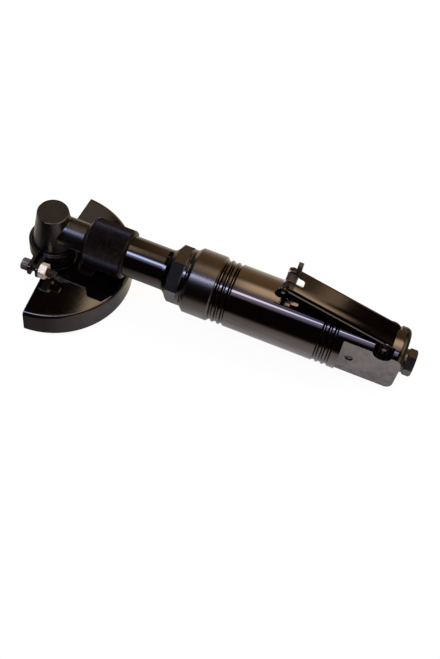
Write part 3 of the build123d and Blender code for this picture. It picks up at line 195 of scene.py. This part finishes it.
def steep_walls(tree, normal, along, stretches):
    """1 on walls that face along X, inside the stretches."""
    steep = span(tree, calc(tree, "ABSOLUTE", split(tree, normal)["X"]), *WALL_FACING)
    walls = 0.0
    for start, end in stretches:
        inside = window(tree, along, start - WALL_BLEND, start, end, end + WALL_BLEND)
        walls = plus(tree, walls, times(tree, steep, inside))
    return walls


def tool_lines(tree, place, axis, per_mm, depth):
    """Height of the marks of a lathe or a brush across one axis."""
    scales = [0.0, 0.0, 0.0]
    scales[axis] = per_mm
    return times(tree, noise(tree, stretched(tree, place, tuple(scales)), *TURNED), depth)


def edge_normal(tree, radius):
    """Normal with the edges rounded to a radius in mm."""
    return add(tree, "ShaderNodeBevel", {"Radius": radius * MM}, samples=EDGE_SAMPLES).outputs["Normal"]


def rubbed_edges(tree, radius):
    """1 along edges, where the rounded normal turns away from the true one."""
    true_normal = add(tree, "ShaderNodeNewGeometry").outputs["Normal"]
    normals = {0: edge_normal(tree, radius), 1: true_normal}
    turn = add(tree, "ShaderNodeVectorMath", normals, operation="DOT_PRODUCT").outputs["Value"]
    return span(tree, turn, *EDGE_TURN)


def finish(name, dark, light, rough, rough_spread=0.04, metal=0.0, ior=1.6, specular=0.5, grain=0.02,
           grain_scale=1.5, peel=0.0, lines=None, streak=0.0, wear=0.5, wear_colour=WORN_BROWN,
           edge_mm=0.3, dust=0.0, satin=(), painted_shade_walls=(), clouded_sheen=None, pale_front=None, bowed=None):
    """Surface with blotched colour, uneven gloss, fine grain, tool lines and rubbed edges.

    lines is (axis number, lines per mm, depth) for marks of a lathe or a brush.
    satin lists (start, end, roughness) for stretches along X, in mm, that are duller than the rest.
    Walls with painted shade: (start, end) stretches along X, in mm, where walls that face along X are
    near-black metal that mirrors next to nothing.
    The clouded stretch is (X, Y) in mm: past that X and in front of that Y the finish is cloudy, duller and
    paler; the pale clouds are partly painted reflection.
    The pale front is (X, colour): before that X, in mm, the colour turns to that paler one; on the latch this
    is a painted highlight.
    bowed is (start, end, fall, lean) of a pressed sheet.
    """
    material = bpy.data.materials.new(name)
    tree = new_tree(material)
    coordinates = add(tree, "ShaderNodeTexCoord").outputs
    place = stretched(tree, coordinates["Object"], (1 / MM, 1 / MM, 1 / MM))
    along, across, _ = split(tree, place)
    blotch = noise(tree, place, *BLOTCH)
    fine = noise(tree, place, grain_scale, *GRAIN)
    patches = span(tree, noise(tree, place, *PATCH), *PATCH_LEVELS)

    colour = mix_colour(tree, span(tree, blotch, *BLOTCH_LEVELS), rgb(*dark), rgb(*light))
    gloss = span(tree, blotch, *GLOSS_LEVELS, rough - rough_spread, rough + rough_spread)
    grain_spread = GRAIN_GLOSS * rough_spread
    gloss = plus(tree, gloss, span(tree, fine, *GLOSS_LEVELS, -grain_spread, grain_spread))
    for start, end, duller in satin:
        inside = window(tree, along, start - SATIN_BLEND, start + SATIN_BLEND,
                        end - SATIN_BLEND, end + SATIN_BLEND)
        gloss = plus(tree, gloss, times(tree, inside, duller - rough))
    walls = 0.0
    # Painted shade: steep walls in the stretches turn near-black metal, so they mirror next to nothing
    if painted_shade_walls:
        walls = steep_walls(tree, coordinates["Normal"], along, painted_shade_walls)
        colour = mix_colour(tree, walls, colour, rgb(*GROOVE_PAINTED_SHADE))

    height = times(tree, fine, grain)
    if peel:
        height = plus(tree, height, times(tree, noise(tree, place, *PEEL), peel))
    if lines:
        height = plus(tree, height, tool_lines(tree, place, *lines))
    if streak:
        rubs = noise(tree, stretched(tree, place, STREAK_STRETCH), *STREAK)
        gloss = plus(tree, gloss, times(tree, span(tree, rubs, *STREAK_LEVELS), streak))
    # Cloudy paler colour on the rear flat: partly a real finish, partly painted reflection of the floor
    if clouded_sheen:
        past, before = clouded_sheen
        cloud = times(tree, span(tree, along, past, past + CLOUD_BLEND),
                      span(tree, across, before + CLOUD_BLEND, before),
                      span(tree, noise(tree, place, *CLOUD), *CLOUD_LEVELS))
        colour = mix_colour(tree, cloud, colour, rgb(*CLOUD_SHEEN_GREY))
        gloss = plus(tree, gloss, times(tree, cloud, CLOUD_DULLER))

    rubbed = times(tree, rubbed_edges(tree, WEAR_WIDTH * edge_mm), patches)
    worn = calc(tree, "MULTIPLY", rubbed, wear, clamp=True)
    colour = mix_colour(tree, worn, colour, rgb(*wear_colour))
    # Pale front with a ragged edge: a painted highlight on the latch's rolled front, and a paler screw head
    if pale_front:
        until, pale_colour = pale_front
        ragged = plus(tree, along, span(tree, patches, 0.0, 1.0, -PALE_BLEND, PALE_BLEND))
        pale_share = span(tree, ragged, until + PALE_BLEND, until - PALE_BLEND)
        colour = mix_colour(tree, pale_share, colour, rgb(*pale_colour))
    if dust:
        film = span(tree, noise(tree, place, *FILM), *FILM_LEVELS, 0.0, dust)
        colour = mix_colour(tree, film, colour, rgb(*DUST_GREY))

    normal = edge_normal(tree, edge_mm)
    if bowed:
        normal = bowed_sheet(tree, normal, across, *bowed)
    relief = {"Strength": 1.0, "Distance": MM, "Height": height, "Normal": normal}
    bump = add(tree, "ShaderNodeBump", relief).outputs["Normal"]
    metallic = 1.0
    if metal < 1.0:
        metallic = calc(tree, "MAXIMUM", span(tree, worn, 0.0, 1.0, metal, 1.0), walls)
    shader = add(tree, "ShaderNodeBsdfPrincipled", {
        "Base Color": colour, "Metallic": metallic, "Roughness": gloss, "IOR": ior,
        "Specular IOR Level": specular, "Normal": bump})
    add(tree, "ShaderNodeOutputMaterial", {"Surface": shader.outputs["BSDF"]})
    return material


def wear_on(material, *names):
    """The named nodes take this material."""
    for name in names:
        slots = nodes[name].data.materials
        slots.clear()
        slots.append(material)


# Bright steel, which every node has unless it takes another finish below
bright_steel = finish(
    "bright_steel", dark=(0.48, 0.47, 0.46), light=(0.60, 0.59, 0.57),
    rough=0.24, rough_spread=0.06, metal=1.0, grain=0.004, grain_scale=1.6, wear=0.4,
    wear_colour=(0.66, 0.65, 0.63), edge_mm=0.2)
wear_on(bright_steel, *nodes)

# Black finishes
# The barrel's groove walls get painted shade; its rear flat's pale clouds are partly painted reflection
barrel_black = finish(
    "barrel_black", dark=(0.0016, 0.0009, 0.0009), light=(0.0028, 0.0017, 0.0016),
    rough=0.06, rough_spread=0.015, ior=1.66, grain=0.0004, lines=(0, 3.0, 0.0004), streak=0.06, wear=0.30,
    edge_mm=0.14, satin=((113.0, 135.5, 0.22),), painted_shade_walls=((136.0, 148.8), (219.2, 232.0)),
    clouded_sheen=(237.6, -15.6))
wear_on(barrel_black, "motor_housing")
# The walls of the tube's nose and flare get painted shade
tube_black = finish(
    "tube_black", dark=(0.0016, 0.0010, 0.0011), light=(0.0026, 0.0017, 0.0019),
    rough=0.10, rough_spread=0.02, ior=1.66, grain=0.0006, lines=(0, 3.0, 0.0006), streak=0.06, wear=0.40,
    edge_mm=0.2, satin=((97.0, 110.1, 0.30),), painted_shade_walls=((93.0, 101.6),))
wear_on(tube_black, "extension_tube")
nut_black = finish(
    "nut_black", dark=(0.0020, 0.0013, 0.0015), light=(0.0036, 0.0024, 0.0028),
    rough=0.34, rough_spread=0.04, ior=1.5, specular=0.12, grain=0.003, grain_scale=2.2, wear=0.4,
    edge_mm=0.12)
head_black = finish(
    "head_black", dark=(0.0022, 0.0015, 0.0015), light=(0.0040, 0.0028, 0.0027),
    rough=0.26, rough_spread=0.05, ior=1.62, grain=0.002, grain_scale=1.8, lines=(2, 2.2, 0.001), wear=0.45,
    satin=((13.5, 34.0, 0.34),))
wear_on(head_black, "head_housing", "head_cap")
guard_black = finish(
    "guard_black", dark=(0.0018, 0.0009, 0.0010), light=(0.0030, 0.0017, 0.0018),
    rough=0.045, rough_spread=0.01, ior=1.62, grain=0.0003, peel=0.002, streak=0.015, wear=0.4, edge_mm=0.45,
    bowed=(-10.0, -24.0, 0.148, 0.0))
wear_on(guard_black, "guard")
lever_black = finish(
    "lever_black", dark=(0.0018, 0.0009, 0.0010), light=(0.0030, 0.0017, 0.0018),
    rough=0.05, rough_spread=0.012, ior=1.62, grain=0.0004, peel=0.003, streak=0.03, wear=0.12, edge_mm=0.15,
    bowed=(-1.0, -9.5, 0.13, 0.22))
wear_on(lever_black, "throttle_lever")
clamp_black = finish(
    "clamp_black", dark=(0.0024, 0.0017, 0.0018), light=(0.0042, 0.0031, 0.0031),
    rough=0.22, rough_spread=0.05, grain=0.004, wear=0.6)
wear_on(clamp_black, "clamp_band")

# Darker steel and plated finishes
dark_steel = finish(
    "dark_steel", dark=(0.006, 0.004, 0.004), light=(0.012, 0.009, 0.008),
    rough=0.28, rough_spread=0.06, metal=0.1, grain=0.006, grain_scale=2.0, wear=0.6,
    wear_colour=(0.30, 0.27, 0.23), edge_mm=0.2)
wear_on(dark_steel, "inlet_bushing", "inlet_washer", "side_plug", "valve_plug", "wheel_flange", "lever_pin",
        "latch_pin", "latch_bush", "latch_spring")
# Clamp screw: the rubbed edges are wear and also painted glints; the head is a paler lilac grey than the rest
screw_black = finish(
    "screw_black", dark=(0.012, 0.010, 0.011), light=(0.024, 0.020, 0.021),
    rough=0.30, rough_spread=0.06, metal=0.3, grain=0.006, wear=0.6, wear_colour=(0.32, 0.28, 0.24),
    edge_mm=0.15, pale_front=(-6.9, (0.125, 0.115, 0.125)))
# Painted highlight: the latch's rolled front edge is painted almost white
latch_steel = finish(
    "latch_steel", dark=(0.020, 0.017, 0.017), light=(0.036, 0.031, 0.030),
    rough=0.34, rough_spread=0.07, metal=0.4, ior=1.7, grain=0.008, grain_scale=1.6, wear=0.7,
    wear_colour=(0.45, 0.40, 0.38), edge_mm=0.2, pale_front=(183.7, (0.92, 0.88, 0.86)))
wear_on(latch_steel, "safety_latch")
plated_nut = finish(
    "plated_nut", dark=(0.84, 0.83, 0.66), light=(0.97, 0.97, 0.86),
    rough=0.36, rough_spread=0.08, metal=0.15, grain=0.010, grain_scale=1.4, wear=0.4,
    wear_colour=(0.55, 0.52, 0.44), edge_mm=0.2, dust=0.35)
wear_on(plated_nut, "clamp_nut")

# Brass, phenolic and rubber inside
brass = finish(
    "brass", dark=(0.60, 0.42, 0.17), light=(0.72, 0.53, 0.25),
    rough=0.30, rough_spread=0.06, metal=1.0, grain=0.005, wear=0.4, wear_colour=(0.80, 0.64, 0.36),
    edge_mm=0.2)
wear_on(brass, "valve_seat", "inlet_screen")
phenolic = finish(
    "phenolic", dark=(0.16, 0.075, 0.032), light=(0.24, 0.12, 0.055),
    rough=0.45, rough_spread=0.08, grain=0.010, wear=0.3, wear_colour=(0.32, 0.18, 0.09), edge_mm=0.2)
wear_on(phenolic, "rotor_vanes")
rubber = finish(
    "rubber", dark=(0.012, 0.012, 0.012), light=(0.022, 0.021, 0.021),
    rough=0.62, rough_spread=0.08, ior=1.5, grain=0.010, wear=0.2, wear_colour=(0.05, 0.05, 0.05),
    edge_mm=0.2)
wear_on(rubber, "rear_gasket")

# Turned pieces that replace plain solids: rings of points around an axis
SHARP_ANGLE = math.radians(20)
RINGS_PER_PITCH = 12
CREST_START = 0.90  # of the way from the middle of the root to the middle of the crest
FLANK = 0.80


def ring_mesh(name, material, rings, place, looped=False):
    """Object made of rings; each is (distance along the axis, one radius per spoke).

    place turns a distance, a radius and an angle into a point.
    A looped mesh has a bore; others have a face at each end.
    """
    spokes = len(rings[0][1])
    points = []
    for along, radii in rings:
        for spoke, radius in enumerate(radii):
            points.append(place(along, radius, 2 * math.pi * spoke / spokes))
    faces = []
    for ring in range(len(rings) if looped else len(rings) - 1):
        here = ring * spokes
        there = (ring + 1) % len(rings) * spokes
        for spoke in range(spokes):
            beside = (spoke + 1) % spokes
            faces.append((here + spoke, here + beside, there + beside, there + spoke))
    if not looped:
        last = (len(rings) - 1) * spokes
        faces.append(tuple(reversed(range(spokes))))
        faces.append(tuple(range(last, last + spokes)))
    mesh = bpy.data.meshes.new(name)
    mesh.from_pydata(points, [], faces)
    mesh.update()
    mesh.shade_smooth()
    mesh.set_sharp_from_angle(angle=SHARP_ANGLE)
    mesh.materials.append(material)
    piece = bpy.data.objects.new(name, mesh)
    bpy.context.scene.collection.objects.link(piece)
    return piece


def plain_ring(along, radius, spokes):
    """Round ring."""
    return along, [radius] * spokes


def toothed_ring(along, radius, depth, spokes):
    """Ring with every second spoke at a root."""
    return along, [radius - depth * (spoke % 2) for spoke in range(spokes)]


def thread_rings(start, end, radius, pitch, depth, start_fade, end_lead, spokes):
    """Rings of a V thread with one start, which fades in after start and ends on a cone, end_lead long."""
    steps = math.ceil(RINGS_PER_PITCH * (end - start) / pitch)
    rings = []
    for step in range(steps + 1):
        along = start + (end - start) * step / steps
        fade = min(1.0, (along - start) / start_fade)
        cone = radius - max(0.0, along - (end - end_lead))
        radii = []
        for spoke in range(spokes):
            phase = (along / pitch - spoke / spokes) % 1.0
            groove = min(1.0, max(0.0, (CREST_START - abs(2 * phase - 1)) / FLANK))
            radii.append(min(cone, radius - fade * depth * groove))
        rings.append((along, radii))
    return rings


# Knurled coupling nut: coned front, straight teeth around it, rounded rear, open bore
axis_height = 42.0 * MM
nut_low, nut_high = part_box("coupling_nut")
nut_front = nut_low.x
nut_rear = nut_high.x
nut_radius = nut_high.y
nut_nose_radius = 12.6 * MM
nut_nose_bore = 12.15 * MM
nut_bore = 14.9 * MM
nut_shoulder = 33.0 * MM
cone_length = 3.7 * MM
rear_round = 2.0 * MM
rear_round_steps = 6
rim_width = 0.5 * MM
tooth_runout = 0.5 * MM
tooth_depth = 0.5 * MM
nut_spokes = 240
band_start = nut_front + cone_length + rim_width
band_end = nut_rear - rear_round
nut_rings = [
    plain_ring(nut_front, nut_nose_bore, nut_spokes),
    plain_ring(nut_front, nut_nose_radius, nut_spokes),
    plain_ring(nut_front + cone_length, nut_radius, nut_spokes),
    plain_ring(band_start, nut_radius, nut_spokes),
    toothed_ring(band_start + tooth_runout, nut_radius, tooth_depth, nut_spokes),
    toothed_ring(band_end - tooth_runout, nut_radius, tooth_depth, nut_spokes),
]
for step in range(rear_round_steps + 1):
    turn = math.radians(90 * step / rear_round_steps)
    nut_rings.append(plain_ring(band_end + rear_round * math.sin(turn),
                                nut_radius - rear_round + rear_round * math.cos(turn), nut_spokes))
nut_rings += [
    plain_ring(nut_rear, nut_bore, nut_spokes),
    plain_ring(nut_shoulder, nut_bore, nut_spokes),
    plain_ring(nut_shoulder, nut_nose_bore, nut_spokes),
]


def around_motor(along, radius, angle):
    """Point around the motor axis."""
    return along, radius * math.cos(angle), axis_height + radius * math.sin(angle)


nut = ring_mesh("knurled_coupling_nut", nut_black, nut_rings, around_motor, looped=True)
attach(nut, "housing")
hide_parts("coupling_nut")

# Spindle with its wheel thread: top, bottom and radius of each plain step, in mm, and the thread below
spindle_spokes = 72
spindle_steps = {
    "upper_journal": (57.4, 51.6, 3.95),
    "gear_seat": (51.6, 30.15, 5.0),
    "lower_journal": (30.15, 7.1, 5.95),
    "collar": (7.1, 4.0, 9.2),
    "flange_seat": (4.0, 0.0, 8.14),
}
spindle_thread = 7.94 * MM
spindle_stub = 11.0 * MM
spindle_pitch = 2.309 * MM
spindle_thread_depth = 1.2 * MM
spindle_thread_fade = 1.2 * MM
spindle_lead = 1.0 * MM
spindle_rings = []
for step_top, step_bottom, step_radius in spindle_steps.values():
    spindle_rings.append(plain_ring(-step_top * MM, step_radius * MM, spindle_spokes))
    spindle_rings.append(plain_ring(-step_bottom * MM, step_radius * MM, spindle_spokes))
spindle_rings += thread_rings(0.0, spindle_stub, spindle_thread, spindle_pitch, spindle_thread_depth,
                              spindle_thread_fade, spindle_lead, spindle_spokes)


def down_spindle(along, radius, angle):
    """Point around the spindle axis, with distances counted down from the wheel seat."""
    return radius * math.cos(angle), -radius * math.sin(angle), -along


threaded_spindle = ring_mesh("threaded_spindle", bright_steel, spindle_rings, down_spindle)
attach(threaded_spindle, "spindle")
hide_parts("spindle")

# Clamp screw: knurled head with a hexagon socket, and a thread up to its end
screw_spokes = 48
screw_across = -28.5 * MM
screw_height = 22.3 * MM
screw_front = -13.1 * MM
screw_face = -6.8 * MM
screw_end = 15.6 * MM
screw_radius = 3.1 * MM
screw_neck = 1.5 * MM
screw_pitch = 1.27 * MM
screw_thread_depth = 0.62 * MM
screw_thread_fade = 0.8 * MM
screw_lead = 0.8 * MM
head_radius = 4.75 * MM
head_chamfer = 0.5 * MM
head_tooth_depth = 0.18 * MM
socket_half = 2.4 * MM
socket_depth = 3.2 * MM
flat_angle = 60
socket = []
for spoke in range(screw_spokes):
    off_flat = (360 * spoke / screw_spokes + flat_angle / 2) % flat_angle - flat_angle / 2
    socket.append(socket_half / math.cos(math.radians(off_flat)))
screw_rings = [
    (screw_front + socket_depth, socket),
    (screw_front, socket),
    plain_ring(screw_front, head_radius - head_chamfer, screw_spokes),
    plain_ring(screw_front + head_chamfer, head_radius, screw_spokes),
    toothed_ring(screw_front + 2 * head_chamfer, head_radius, head_tooth_depth, screw_spokes),
    toothed_ring(screw_face - 2 * head_chamfer, head_radius, head_tooth_depth, screw_spokes),
    plain_ring(screw_face - head_chamfer, head_radius, screw_spokes),
    plain_ring(screw_face, head_radius, screw_spokes),
    plain_ring(screw_face, screw_radius, screw_spokes),
]
screw_rings += thread_rings(screw_face + screw_neck, screw_end, screw_radius, screw_pitch, screw_thread_depth,
                            screw_thread_fade, screw_lead, screw_spokes)


def along_screw(along, radius, angle):
    """Point around the clamp screw's axis."""
    return along, screw_across + radius * math.cos(angle), screw_height + radius * math.sin(angle)


screw = ring_mesh("threaded_clamp_screw", screw_black, screw_rings, along_screw)
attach(screw, "guard")
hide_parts("clamp_screw")

# Valve spring, as a piece of its own carried by the housing
spring = bpy.data.objects.new("valve_coil_spring", nodes["valve_spring"].data.copy())
spring.matrix_world = nodes["valve_spring"].matrix_world
bpy.context.scene.collection.objects.link(spring)
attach(spring, "housing")
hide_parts("valve_spring")
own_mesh(spring)

# Floor under the guard's rim and the rear end, which is how the tool lies
rim = Vector((0.0625, 0.0, -0.0128))
rear = Vector((0.278, 0.0, 0.0175))
floor_gap = 0.0002
floor_half = 6.0
lie = math.atan2(rear.z - rim.z, rear.x - rim.x)
floor_corners = [(x * floor_half, y * floor_half, 0) for x, y in ((-1, -1), (1, -1), (1, 1), (-1, 1))]
floor_mesh = bpy.data.meshes.new("floor")
floor_mesh.from_pydata(floor_corners, [], [(0, 1, 2, 3)])
floor = bpy.data.objects.new("floor", floor_mesh)
floor.matrix_world = Matrix.Translation(rim - Vector((0, 0, floor_gap))) @ Matrix.Rotation(-lie, 4, "Y")
bpy.context.scene.collection.objects.link(floor)

# Paper of the floor: noise as scale, detail and roughness
paper_tooth = (900.0, 4.0, 0.6)
paper_mottle = (45.0, 4.0, 0.6)
paper_dark = (0.06, 0.06, 0.062)
paper_light = (0.08, 0.08, 0.082)
paper_rough = 0.9
paper_glow = 0.95

# What the tool mirrors of the floor: start and end in metres, and brightness there if it isn't 0 and 1
near_along = (
    (-0.0425, 0.0675, 0.15, 1.0),
    (-0.13, -0.04, 0.3, 1.0),
    (0.24, 0.30, 1.0, 0.25),
    (0.08, 0.14, 1.0, 1.2),
)
# Painted shadow: the mirrored floor glow is darker right under the tool's middle line
near_apart_shadow = (0.010, 0.042, 0.45, 1.08)
near_fade = (0.08, 0.5, 1.0, 0.1)
past_guard_apart = (0.085, 0.105, 1.0, 0.2)
past_guard_along = (-0.06, -0.02)
beyond_head_along = (-0.105, -0.135, 0.0, 0.32)
beyond_head_apart = (0.075, 0.055)
far_along = ((0.0, 0.0875, 0.70, 1.0), (0.20, 0.26, 1.0, 0.12))
far_apart = (0.03, 0.10, 0.78, 1.0)
mottle_levels = (0.3, 0.7, 0.84, 1.16)
under_tint = (1.0, 0.94, 1.0)
beside_starts = (0.02, 0.06)
beside_tint = (1.03, 0.88, 0.83)
outer_starts = (0.08, 0.30)
outer_tint = (1.0, 0.68, 0.56)
far_starts = (-0.02, 0.02)
far_colour = (1.25, 1.06, 0.83)


def floor_paper():
    """White paper to look at; what the tool mirrors of it glows near the barrel, with a painted shadow under
    the tool, and falls off around it.

    Lengths along the floor are counted from the rim, and lengths apart from the tool's middle line.
    """
    material = bpy.data.materials.new("floor_paper")
    tree = new_tree(material)
    where = add(tree, "ShaderNodeTexCoord").outputs["Object"]
    along, across, _ = split(tree, where)
    apart = calc(tree, "ABSOLUTE", across)
    paper_colour = mix_colour(tree, noise(tree, where, *paper_tooth), rgb(*paper_dark), rgb(*paper_light))
    paper = add(tree, "ShaderNodeBsdfPrincipled", {
        "Base Color": paper_colour, "Roughness": paper_rough, "Emission Color": rgb(1.0, 1.0, 1.0),
        "Emission Strength": paper_glow})

    lit = span(tree, apart, *near_apart_shadow)
    for stretch in near_along:
        lit = times(tree, lit, span(tree, along, *stretch))
    past_guard = calc(tree, "MAXIMUM", span(tree, apart, *past_guard_apart),
                      span(tree, along, *past_guard_along))
    beyond_head = times(tree, span(tree, along, *beyond_head_along), span(tree, apart, *beyond_head_apart))
    lit = plus(tree, times(tree, lit, past_guard), beyond_head)
    mottle = span(tree, noise(tree, where, *paper_mottle), *mottle_levels)
    lit = times(tree, lit, mottle, span(tree, apart, *near_fade, smooth=True))
    near = mix_colour(tree, span(tree, apart, *beside_starts), rgb(*under_tint), rgb(*beside_tint))
    near = mix_colour(tree, span(tree, apart, *outer_starts), near, rgb(*outer_tint))
    near = vector(tree, "SCALE", near, scale=lit)

    behind = span(tree, apart, *far_apart)
    for stretch in far_along:
        behind = times(tree, behind, span(tree, along, *stretch))
    far = vector(tree, "SCALE", far_colour, scale=behind)
    mirrored = mix_colour(tree, span(tree, across, *far_starts, smooth=True), near, far)
    glow = add(tree, "ShaderNodeEmission", {"Color": mirrored, "Strength": 1.0})
    seen = add(tree, "ShaderNodeLightPath").outputs["Is Camera Ray"]
    both = add(tree, "ShaderNodeMixShader", {0: seen, 1: glow.outputs[0], 2: paper.outputs[0]})
    add(tree, "ShaderNodeOutputMaterial", {"Surface": both.outputs[0]})
    return material


floor_mesh.materials.append(floor_paper())

# Studio lights as soft-edged cards around the tool: angles, stretch along X and colour of each
cards = {
    "wall": ((-30, -29, 52, 62), (-0.26, -0.10, -0.02, 0.07), (0.50, 0.28, 0.12)),
    "wall_end": ((-30, -29, 52, 62), (-0.26, -0.10, 0.369, 0.377), (0.42, 0.24, 0.11)),
    "lever_patch": ((30, 44, 58, 64), (0.338, 0.360, 0.366, 0.380), (1.15, 0.78, 0.50)),
    "wall_foot": ((-30, -29, 0, 16), (-0.26, -0.10, 0.12, 0.20), (0.05, 0.22, 0.34)),
    "grey_wall": ((44, 49, 55.4, 56.8), (-0.60, -0.50, -0.25, -0.235), (0.68, 0.54, 0.44)),
    "wedge": ((66, 71, 90, 98), (-0.244, -0.233, -0.222, -0.212), (3.7, 2.75, 1.85)),
    "board": ((56, 70, 78, 104), (-0.128, -0.086, 0.385, 0.425), (5.5, 3.75, 2.35)),
    "board_end": ((56, 70, 78, 104), (-0.23, -0.19, -0.165, -0.14), (0.95, 0.66, 0.42)),
    "left_card": ((25, 40, 140, 155), (-0.85, -0.80, -0.58, -0.50), (0.16, 0.16, 0.17)),
    "left_box": ((12, 45, 80, 112), (-0.955, -0.90, -0.72, -0.55), (1.3, 1.3, 1.45)),
    "left_low": ((112, 120, 165, 178), (-0.955, -0.90, -0.72, -0.55), (0.6, 0.6, 0.68)),
    "right_card": ((-30, -29, 200, 210), (0.55, 0.80, 1.1, 1.2), (0.40, 0.29, 0.15)),
    "right_box": ((12, 45, 80, 112), (0.42, 0.62, 0.90, 0.955), (1.05, 0.76, 0.40)),
    "right_low": ((112, 120, 165, 178), (0.42, 0.62, 0.90, 0.955), (0.55, 0.42, 0.27)),
}
room_dark = (0.004, 0.003, 0.003)

# One long strip light with a slanted near edge, a glow before it and a skirt after it
strip_stretch = (-0.40, -0.34, 0.12, 0.26)
strip_start = (106.1, 109.0)
strip_end = (114.4, 112.4)
strip_colour = (10.4, 10.1, 11.5)
strip_glow = ((92, 102, 106, 109), (1.0, 0.65, 1.2))
strip_skirt = ((110, 114, 117.5, 129.5), (1.9, 1.55, 1.9))
strip_slant = 35.0
strip_square = -0.071
strip_left_tint = (0.68, 0.85, 1.12)
strip_middle_starts = (-0.2, -0.1)
strip_middle_tint = (1.0, 1.0, 1.0)
strip_right_starts = (-0.06, -0.03)
strip_right_tint = (0.88, 0.94, 1.15)


def studio_world():
    """World lit by the cards and the strip; the camera itself sees white.

    Angles run in degrees from the far horizon over the top to the near horizon.
    A stretch is the X part of a direction. Both have start, full, until and end.
    """
    world = bpy.data.worlds.new("studio")
    tree = new_tree(world)
    way = add(tree, "ShaderNodeTexCoord").outputs["Generated"]
    along, across, up = split(tree, way)
    round_angle = times(tree, calc(tree, "ARCTAN2", up, across), 180.0 / math.pi)
    room = room_dark
    for angles, stretch, colour in cards.values():
        share = times(tree, window(tree, round_angle, *angles), window(tree, along, *stretch))
        room = vector(tree, "ADD", room, vector(tree, "SCALE", colour, scale=share))

    slanted = plus(tree, round_angle, times(tree, calc(tree, "SUBTRACT", along, strip_square), strip_slant))
    strip = times(tree, span(tree, round_angle, *strip_start, smooth=True),
                  span(tree, slanted, *strip_end, smooth=True))
    lit = vector(tree, "SCALE", strip_colour, scale=strip)
    for angles, colour in (strip_glow, strip_skirt):
        lit = vector(tree, "ADD", lit, vector(tree, "SCALE", colour, scale=window(tree, slanted, *angles)))
    tint = mix_colour(tree, span(tree, along, *strip_right_starts), rgb(*strip_middle_tint),
                      rgb(*strip_right_tint))
    tint = mix_colour(tree, span(tree, along, *strip_middle_starts), rgb(*strip_left_tint), tint)
    lit = vector(tree, "MULTIPLY", lit, tint)
    lit = vector(tree, "SCALE", lit, scale=window(tree, along, *strip_stretch))
    room = vector(tree, "ADD", room, lit)

    studio_light = add(tree, "ShaderNodeBackground", {"Color": room, "Strength": 1.0})
    white = add(tree, "ShaderNodeBackground", {"Color": rgb(1.0, 1.0, 1.0), "Strength": 1.0})
    seen = add(tree, "ShaderNodeLightPath").outputs["Is Camera Ray"]
    both = add(tree, "ShaderNodeMixShader", {0: seen, 1: studio_light.outputs[0], 2: white.outputs[0]})
    add(tree, "ShaderNodeOutputWorld", {"Surface": both.outputs[0]})
    return world


bpy.context.scene.world = studio_world()

# Camera at the photograph's place and angle
camera_place = Vector((0.2263, -0.4154, 0.6595))
azimuth = math.radians(11.26)
elevation = math.radians(57.71)
roll = math.radians(11.59)
back = Vector((math.sin(azimuth) * math.cos(elevation), -math.cos(azimuth) * math.cos(elevation),
               math.sin(elevation)))
level = Vector((math.cos(azimuth), math.sin(azimuth), 0.0))
upright = back.cross(level)
right = math.cos(roll) * level + math.sin(roll) * upright
top = -math.sin(roll) * level + math.cos(roll) * upright
lens = bpy.data.cameras.new("camera")
lens.lens = 54.33
lens.sensor_width = 36.0
lens.clip_start = 0.01
camera = bpy.data.objects.new("camera", lens)
camera.matrix_world = Matrix((
    (right.x, top.x, back.x, camera_place.x),
    (right.y, top.y, back.y, camera_place.y),
    (right.z, top.z, back.z, camera_place.z),
    (0, 0, 0, 1),
))
bpy.context.scene.collection.objects.link(camera)
bpy.context.scene.camera = camera
bpy.context.scene.view_settings.view_transform = "Standard"
